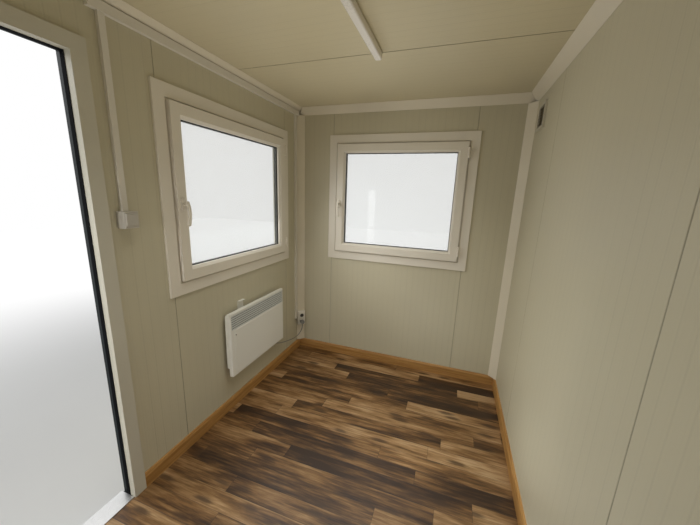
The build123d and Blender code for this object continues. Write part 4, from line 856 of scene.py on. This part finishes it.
# painted shade: a dark sheet behind the outlet stands for the shade inside the white case
tall = span[2] - 2 * SHADE_SHEET_INSET
section = [(0, -SHADE_SHEET_THICKNESS, 0), (0, 0, 0), (0, 0, tall), (0, -SHADE_SHEET_THICKNESS, tall)]
corner = grille_low + np.array([SHADE_SHEET_INSET, -SHADE_SHEET_BEHIND, SHADE_SHEET_INSET])
shade_sheet = bar(section, corner, (span[0] - 2 * SHADE_SHEET_INSET, 0, 0))
shade_sheet = outward(mesh_piece("heater_outlet_painted_shade", *shade_sheet))
put_on(plain_coat("painted shade behind the outlet", (0.10, 0.105, 0.10), 0.60), shade_sheet)
print("outlet", columns, "x", ROWS, "slots,", len(outlet.data.polygons), "faces")

# %% Front plate and pilot
PLATE_SIDE, PLATE_END, PLATE_PROUD = 0.043, 0.007, 0.0016
PILOT_INSET, PILOT_DROP, PILOT_SEAT = 0.006, 0.041, 0.0010
plate_middle = np.array([(case_low[0] + case_high[0]) / 2, case_high[1],
                         (grille_low[2] + case_low[2]) / 2])
rise = np.array([-0.0004, 0.0006, 0.0013, PLATE_PROUD])
shrink = np.array([0.0, 0.0, 0.0004, 0.0018])
plate = along_path(straight_out(plate_middle, rise), ACROSS,
                   (case_high[0] - case_low[0]) / 2 - PLATE_SIDE - shrink,
                   (grille_low[2] - case_low[2]) / 2 - PLATE_END - shrink, 48, 24)
plate = outward(mesh_piece("heater_front_plate", *plate))
put_on(heater_white, plate)
pilot_spot = np.array([case_high[0] - PLATE_SIDE - PILOT_INSET, case_high[1] + PILOT_SEAT,
                       grille_low[2] - PILOT_DROP])
pilot_radius = [0.0055, 0.0055, 0.0046, 0.002]
pilot = along_path(straight_out(pilot_spot, np.array([0, 0.0018, 0.0026, 0.0028])), ACROSS,
                   pilot_radius, pilot_radius, 20, 2)
pilot = outward(mesh_piece("heater_pilot", *pilot, smooth=True))
put_on(plain_coat("pilot grey", (0.26, 0.25, 0.23), 0.40), pilot)
print("front plate and pilot", len(plate.data.polygons) + len(pilot.data.polygons), "faces")

# %% [markdown]
# ## Sleeves of the flex
# A flex breaks where it bends sharply, so a tapered sleeve guards both ends. Each is a row of rings
# down the first straight run: wide at the housing, then stepped into shallow ribs, then thin.

# %% Tapered sleeves
SLEEVE_RIBS, RIB_HALF_DEPTH = 5, 0.00045


def flex_sleeve(name, mouth, above, below, wide, thin):
    """From above a mouth to below it; the radius falls evenly, with a small wave for the ribs."""
    u = np.linspace(0, 1, 8 * SLEEVE_RIBS + 1)
    radius = wide + (thin - wide) * u + RIB_HALF_DEPTH * np.cos(2 * np.pi * SLEEVE_RIBS * u)
    path = np.asarray(mouth) + (above - (above + below) * u)[:, None] * UP
    rings = along_path(path, ACROSS, radius, radius, 20, 2)
    sleeve = outward(mesh_piece(name, *rings, smooth=True))
    put_on(flex_grey, sleeve)
    return sleeve


flex_sleeve("heater_end_sleeve", FLEX_ROUTE[0], 0.0015, 0.0225, 0.0060, 0.0042)
plug_sleeve = flex_sleeve("plug_end_sleeve", FLEX_ROUTE[-1], 0.0030, 0.0190, 0.0055, 0.0042)

# %% [markdown]
# ## Switch and socket
# The switch has one wide rocker that stands tilted in its frame. The socket has two round wells. The
# lower one holds the plug, so only the upper one is drawn: a rim round a shallow dark cup, which is
# painted shade for the deep well, standing on the raised field of the housing.

# %% Rocker and socket well
ROCKER_HALF, ROCKER_TILT = 0.0262, 0.06  # half its side, and how far it leans out per height
box_low, box_high = [np.array(v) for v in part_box("light_switch")]
rocker_middle = np.array([(box_low[0] + box_high[0]) / 2, box_high[1],
                          (box_low[2] + box_high[2]) / 2])
rise = np.array([-0.0050, 0.0, 0.0012, 0.0016])
shrink = np.array([0.0, 0.0, 0.0008, 0.003])
points, faces = along_path(straight_out(rocker_middle, rise), ACROSS, ROCKER_HALF - shrink,
                           ROCKER_HALF - shrink, 40, 14)
points[:, 1] += ROCKER_TILT * (points[:, 2] - rocker_middle[2])
rocker = outward(mesh_piece("switch_rocker", points, faces))
put_on(switch_white_painted_shade, rocker)
SOCKET_FACE, RING_POINTS = np.array([-1.36230, -0.86650, 0.473]), 40
OUTWARD, SIDEWAYS = np.array([1, 1, 0]) / math.sqrt(2), np.array([1, -1, 0]) / math.sqrt(2)


def turned_piece(name, radii, depths, material):
    """Rings about the socket's axis, one radius and one depth each, closed at both ends."""
    count = RING_POINTS
    turn = np.linspace(0, 2 * np.pi, count, endpoint=False)
    ring = np.cos(turn)[:, None] * SIDEWAYS + np.sin(turn)[:, None] * UP
    points = (SOCKET_FACE + np.asarray(radii)[:, None, None] * ring
              + np.asarray(depths)[:, None, None] * OUTWARD)
    last = (len(radii) - 1) * count
    ends = [list(range(last, last + count)), list(range(count))[::-1]]
    piece = mesh_piece(name, points, grid_faces(len(radii), count, False, True) + ends, True)
    put_on(material, outward(piece))


turned_piece("socket_rim", [0.0228, 0.0228, 0.0220, 0.0196, 0.0184, 0.0182],
             [-0.001, 0.0030, 0.0042, 0.0042, 0.0030, 0.0006], box_white)
# painted shade: a nearly flat dark cup stands for the shade inside the white well
turned_piece("socket_well_painted_shade", [0.0182, 0.0180, 0.0150, 0.0040, 0.0005],
             [0.0002, 0.0012, 0.0010, 0.0010, 0.0010],
             plain_coat("painted shade of the socket well", (0.045, 0.040, 0.032), 0.55, 300.0, 0.00003, 0.05))

# %% [markdown]
# ## The vent
# The vent is a pale rim round its louvres, whose field is painted darker as painted shade for the
# openings between them. The rim is told from the louvres by its distance from the middle of the vent,
# so one material serves the whole node.


# %% Vent finish
vent_low, vent_high = [np.array(v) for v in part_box("vent_grille")]
vent_middle = (vent_low + vent_high) / 2
VENT_CLEAR, VENT_EDGE = 0.062, 0.001
# painted shade: the louvre field is darker than the rim for the shade between the louvres
LOUVRE_PAINTED_SHADE, RIM_TONE = (0.20, 0.165, 0.095), (0.52, 0.48, 0.38)


def vent_finish():
    """Painted shade where both distances from the middle are inside the clear opening."""
    finish = Finish("vent plastic")
    vector = finish.place()
    x, _, z = finish.split(vector)
    aside = (x - float(vent_middle[0])).size()
    upward = (z - float(vent_middle[2])).size()
    rim = aside.larger(upward).ease(VENT_CLEAR - VENT_EDGE, VENT_CLEAR)
    fine = finish.cloud(vector, 200.0)
    return finish.set(Base_Color=finish.mix(rim, LOUVRE_PAINTED_SHADE, RIM_TONE),
                      Roughness=0.42 + fine * 0.1, Normal=finish.relief(fine, 0.0001))


put_on(vent_finish(), "vent_grille")

# %% [markdown]
# ## Light and surroundings
# The cabin stands on a plain pale floor under a soft white sky. Wide lamps that the camera doesn't
# see help: a large one outside on the door side, one in front of the doorway, one in the window, and
# the rest inside the room, for walls, ceiling and floor. The cool one over the near floor stands for
# the daylight that the doorway throws there.


# %% Floor, sky and lamps
SHADOW_REACH, WHITE_REACH = 2.6, 6.0  # from the cabin's middle: still floor, plain white
GROUND_HALF, GROUND_DROP = 14, 0.001


def white_sky(strength):
    """Even sky; rays from the camera, in reflections and through glass see plain white."""
    sky = bpy.data.worlds.new("sky")
    bpy.context.scene.world = sky
    sky.use_nodes = True
    tree = sky.node_tree
    tree.nodes.clear()
    new, link = tree.nodes.new, tree.links.new
    path = new("ShaderNodeLightPath")
    seen = path.outputs["Is Camera Ray"]
    for ray in ("Is Transmission Ray", "Is Glossy Ray"):
        either = new("ShaderNodeMath")
        either.operation = "MAXIMUM"
        link(seen, either.inputs[0])
        link(path.outputs[ray], either.inputs[1])
        seen = either.outputs[0]
    mix, out = new("ShaderNodeMixShader"), new("ShaderNodeOutputWorld")
    link(seen, mix.inputs[0])
    for place, colour, level in ((1, (0.97, 0.985, 1, 1), strength), (2, (1, 1, 1, 1), 1.0)):
        background = new("ShaderNodeBackground")
        background.inputs[0].default_value = colour
        background.inputs[1].default_value = level
        link(background.outputs[0], mix.inputs[place])
    link(mix.outputs[0], out.inputs[0])


def soft_lamp(name, place, towards, width, height, power, colour=(1, 1, 1), spread=180):
    """Area lamp that lights but isn't seen; a small spread in degrees keeps it to what it points at."""
    data = bpy.data.lights.new(name, "AREA")
    data.spread = math.radians(spread)
    data.shape, data.size, data.size_y = "RECTANGLE", width, height
    data.energy, data.color = power, colour
    lamp = in_scene(name, data)
    look = (Vector(towards) - Vector(place)).to_track_quat("-Z", "Y")
    lamp.matrix_world = Matrix.Translation(place) @ look.to_matrix().to_4x4()
    lamp.visible_camera = False


def pale_ground():
    """Pale floor that keeps the shadow near the cabin and turns into plain white further out."""
    finish = Finish("pale ground", Roughness=0.75, Specular_IOR_Level=0.1, Emission_Strength=1.0)
    vector = finish.place()
    reach = finish.add("ShaderNodeVectorMath", {"operation": "LENGTH"}, {0: vector}, output=1)
    far = reach.ease(SHADOW_REACH, WHITE_REACH)
    near = finish.mix(finish.cloud(vector, 3.0), (0.80, 0.80, 0.79), (0.82, 0.82, 0.81))
    black, white = (0, 0, 0), (1, 1, 1)
    return finish.set(Base_Color=finish.mix(far, near, black),
                      Emission_Color=finish.mix(far, black, white))


white_sky(0.38)
ground_points = np.c_[GROUND_HALF * CORNERS, np.full(4, -GROUND_DROP)]
ground_mesh = bpy.data.meshes.new("ground")
ground_mesh.from_pydata(ground_points.tolist(), [], [[0, 1, 2, 3]])
ground = in_scene("ground", ground_mesh)
ground_mesh.materials.append(pale_ground())
soft_lamp("door light", (0.75, -1.6, 1.6), (-0.2, 0.9, 0.7), 1.0, 1.9, 2.45, (0.94, 0.99, 1.0), 140)
soft_lamp("window light", (-0.597, -0.845, 1.614), (-0.597, 0.9, 0.9), 0.90, 0.76, 3.9,
          (0.98, 0.99, 0.97), 150)
soft_lamp("camera end light", (1.35, 0.1, 1.25), (-1.4, 0.0, 1.1), 1.2, 1.6, 1.85, spread=150)
soft_lamp("door side light", (0.95, -0.86, 1.0), (-1.4, -0.82, 0.8), 0.12, 1.5, 0.65, spread=60)
soft_lamp("floor light", (-0.2, 0.0, 2.2), (-0.2, 0.0, 0.0), 1.8, 1.2, 6.6, spread=90)
soft_lamp("near floor light", (0.35, 0.25, 2.15), (0.3, 0.25, 0.0), 0.8, 1.2, 3.2,
          (0.50, 0.74, 1.0), 60)
soft_lamp("ceiling light", (-0.2, -0.25, 0.6), (-0.2, -0.35, 2.4), 1.8, 0.9, 2.3, (1.0, 0.96, 0.87), 84)
soft_lamp("floor bounce", (-0.3, 0.35, 0.16), (-0.9, 0.25, 0.9), 0.5, 0.6, 2.7, (0.93, 1.0, 1.0))
soft_lamp("sun side", (4.0, -7.5, 6.0), (0, 0, 1.2), 4.0, 4.0, 370)

# %% Colour view and finish
bpy.context.scene.view_settings.view_transform = "Standard"
bpy.context.view_layer.update()
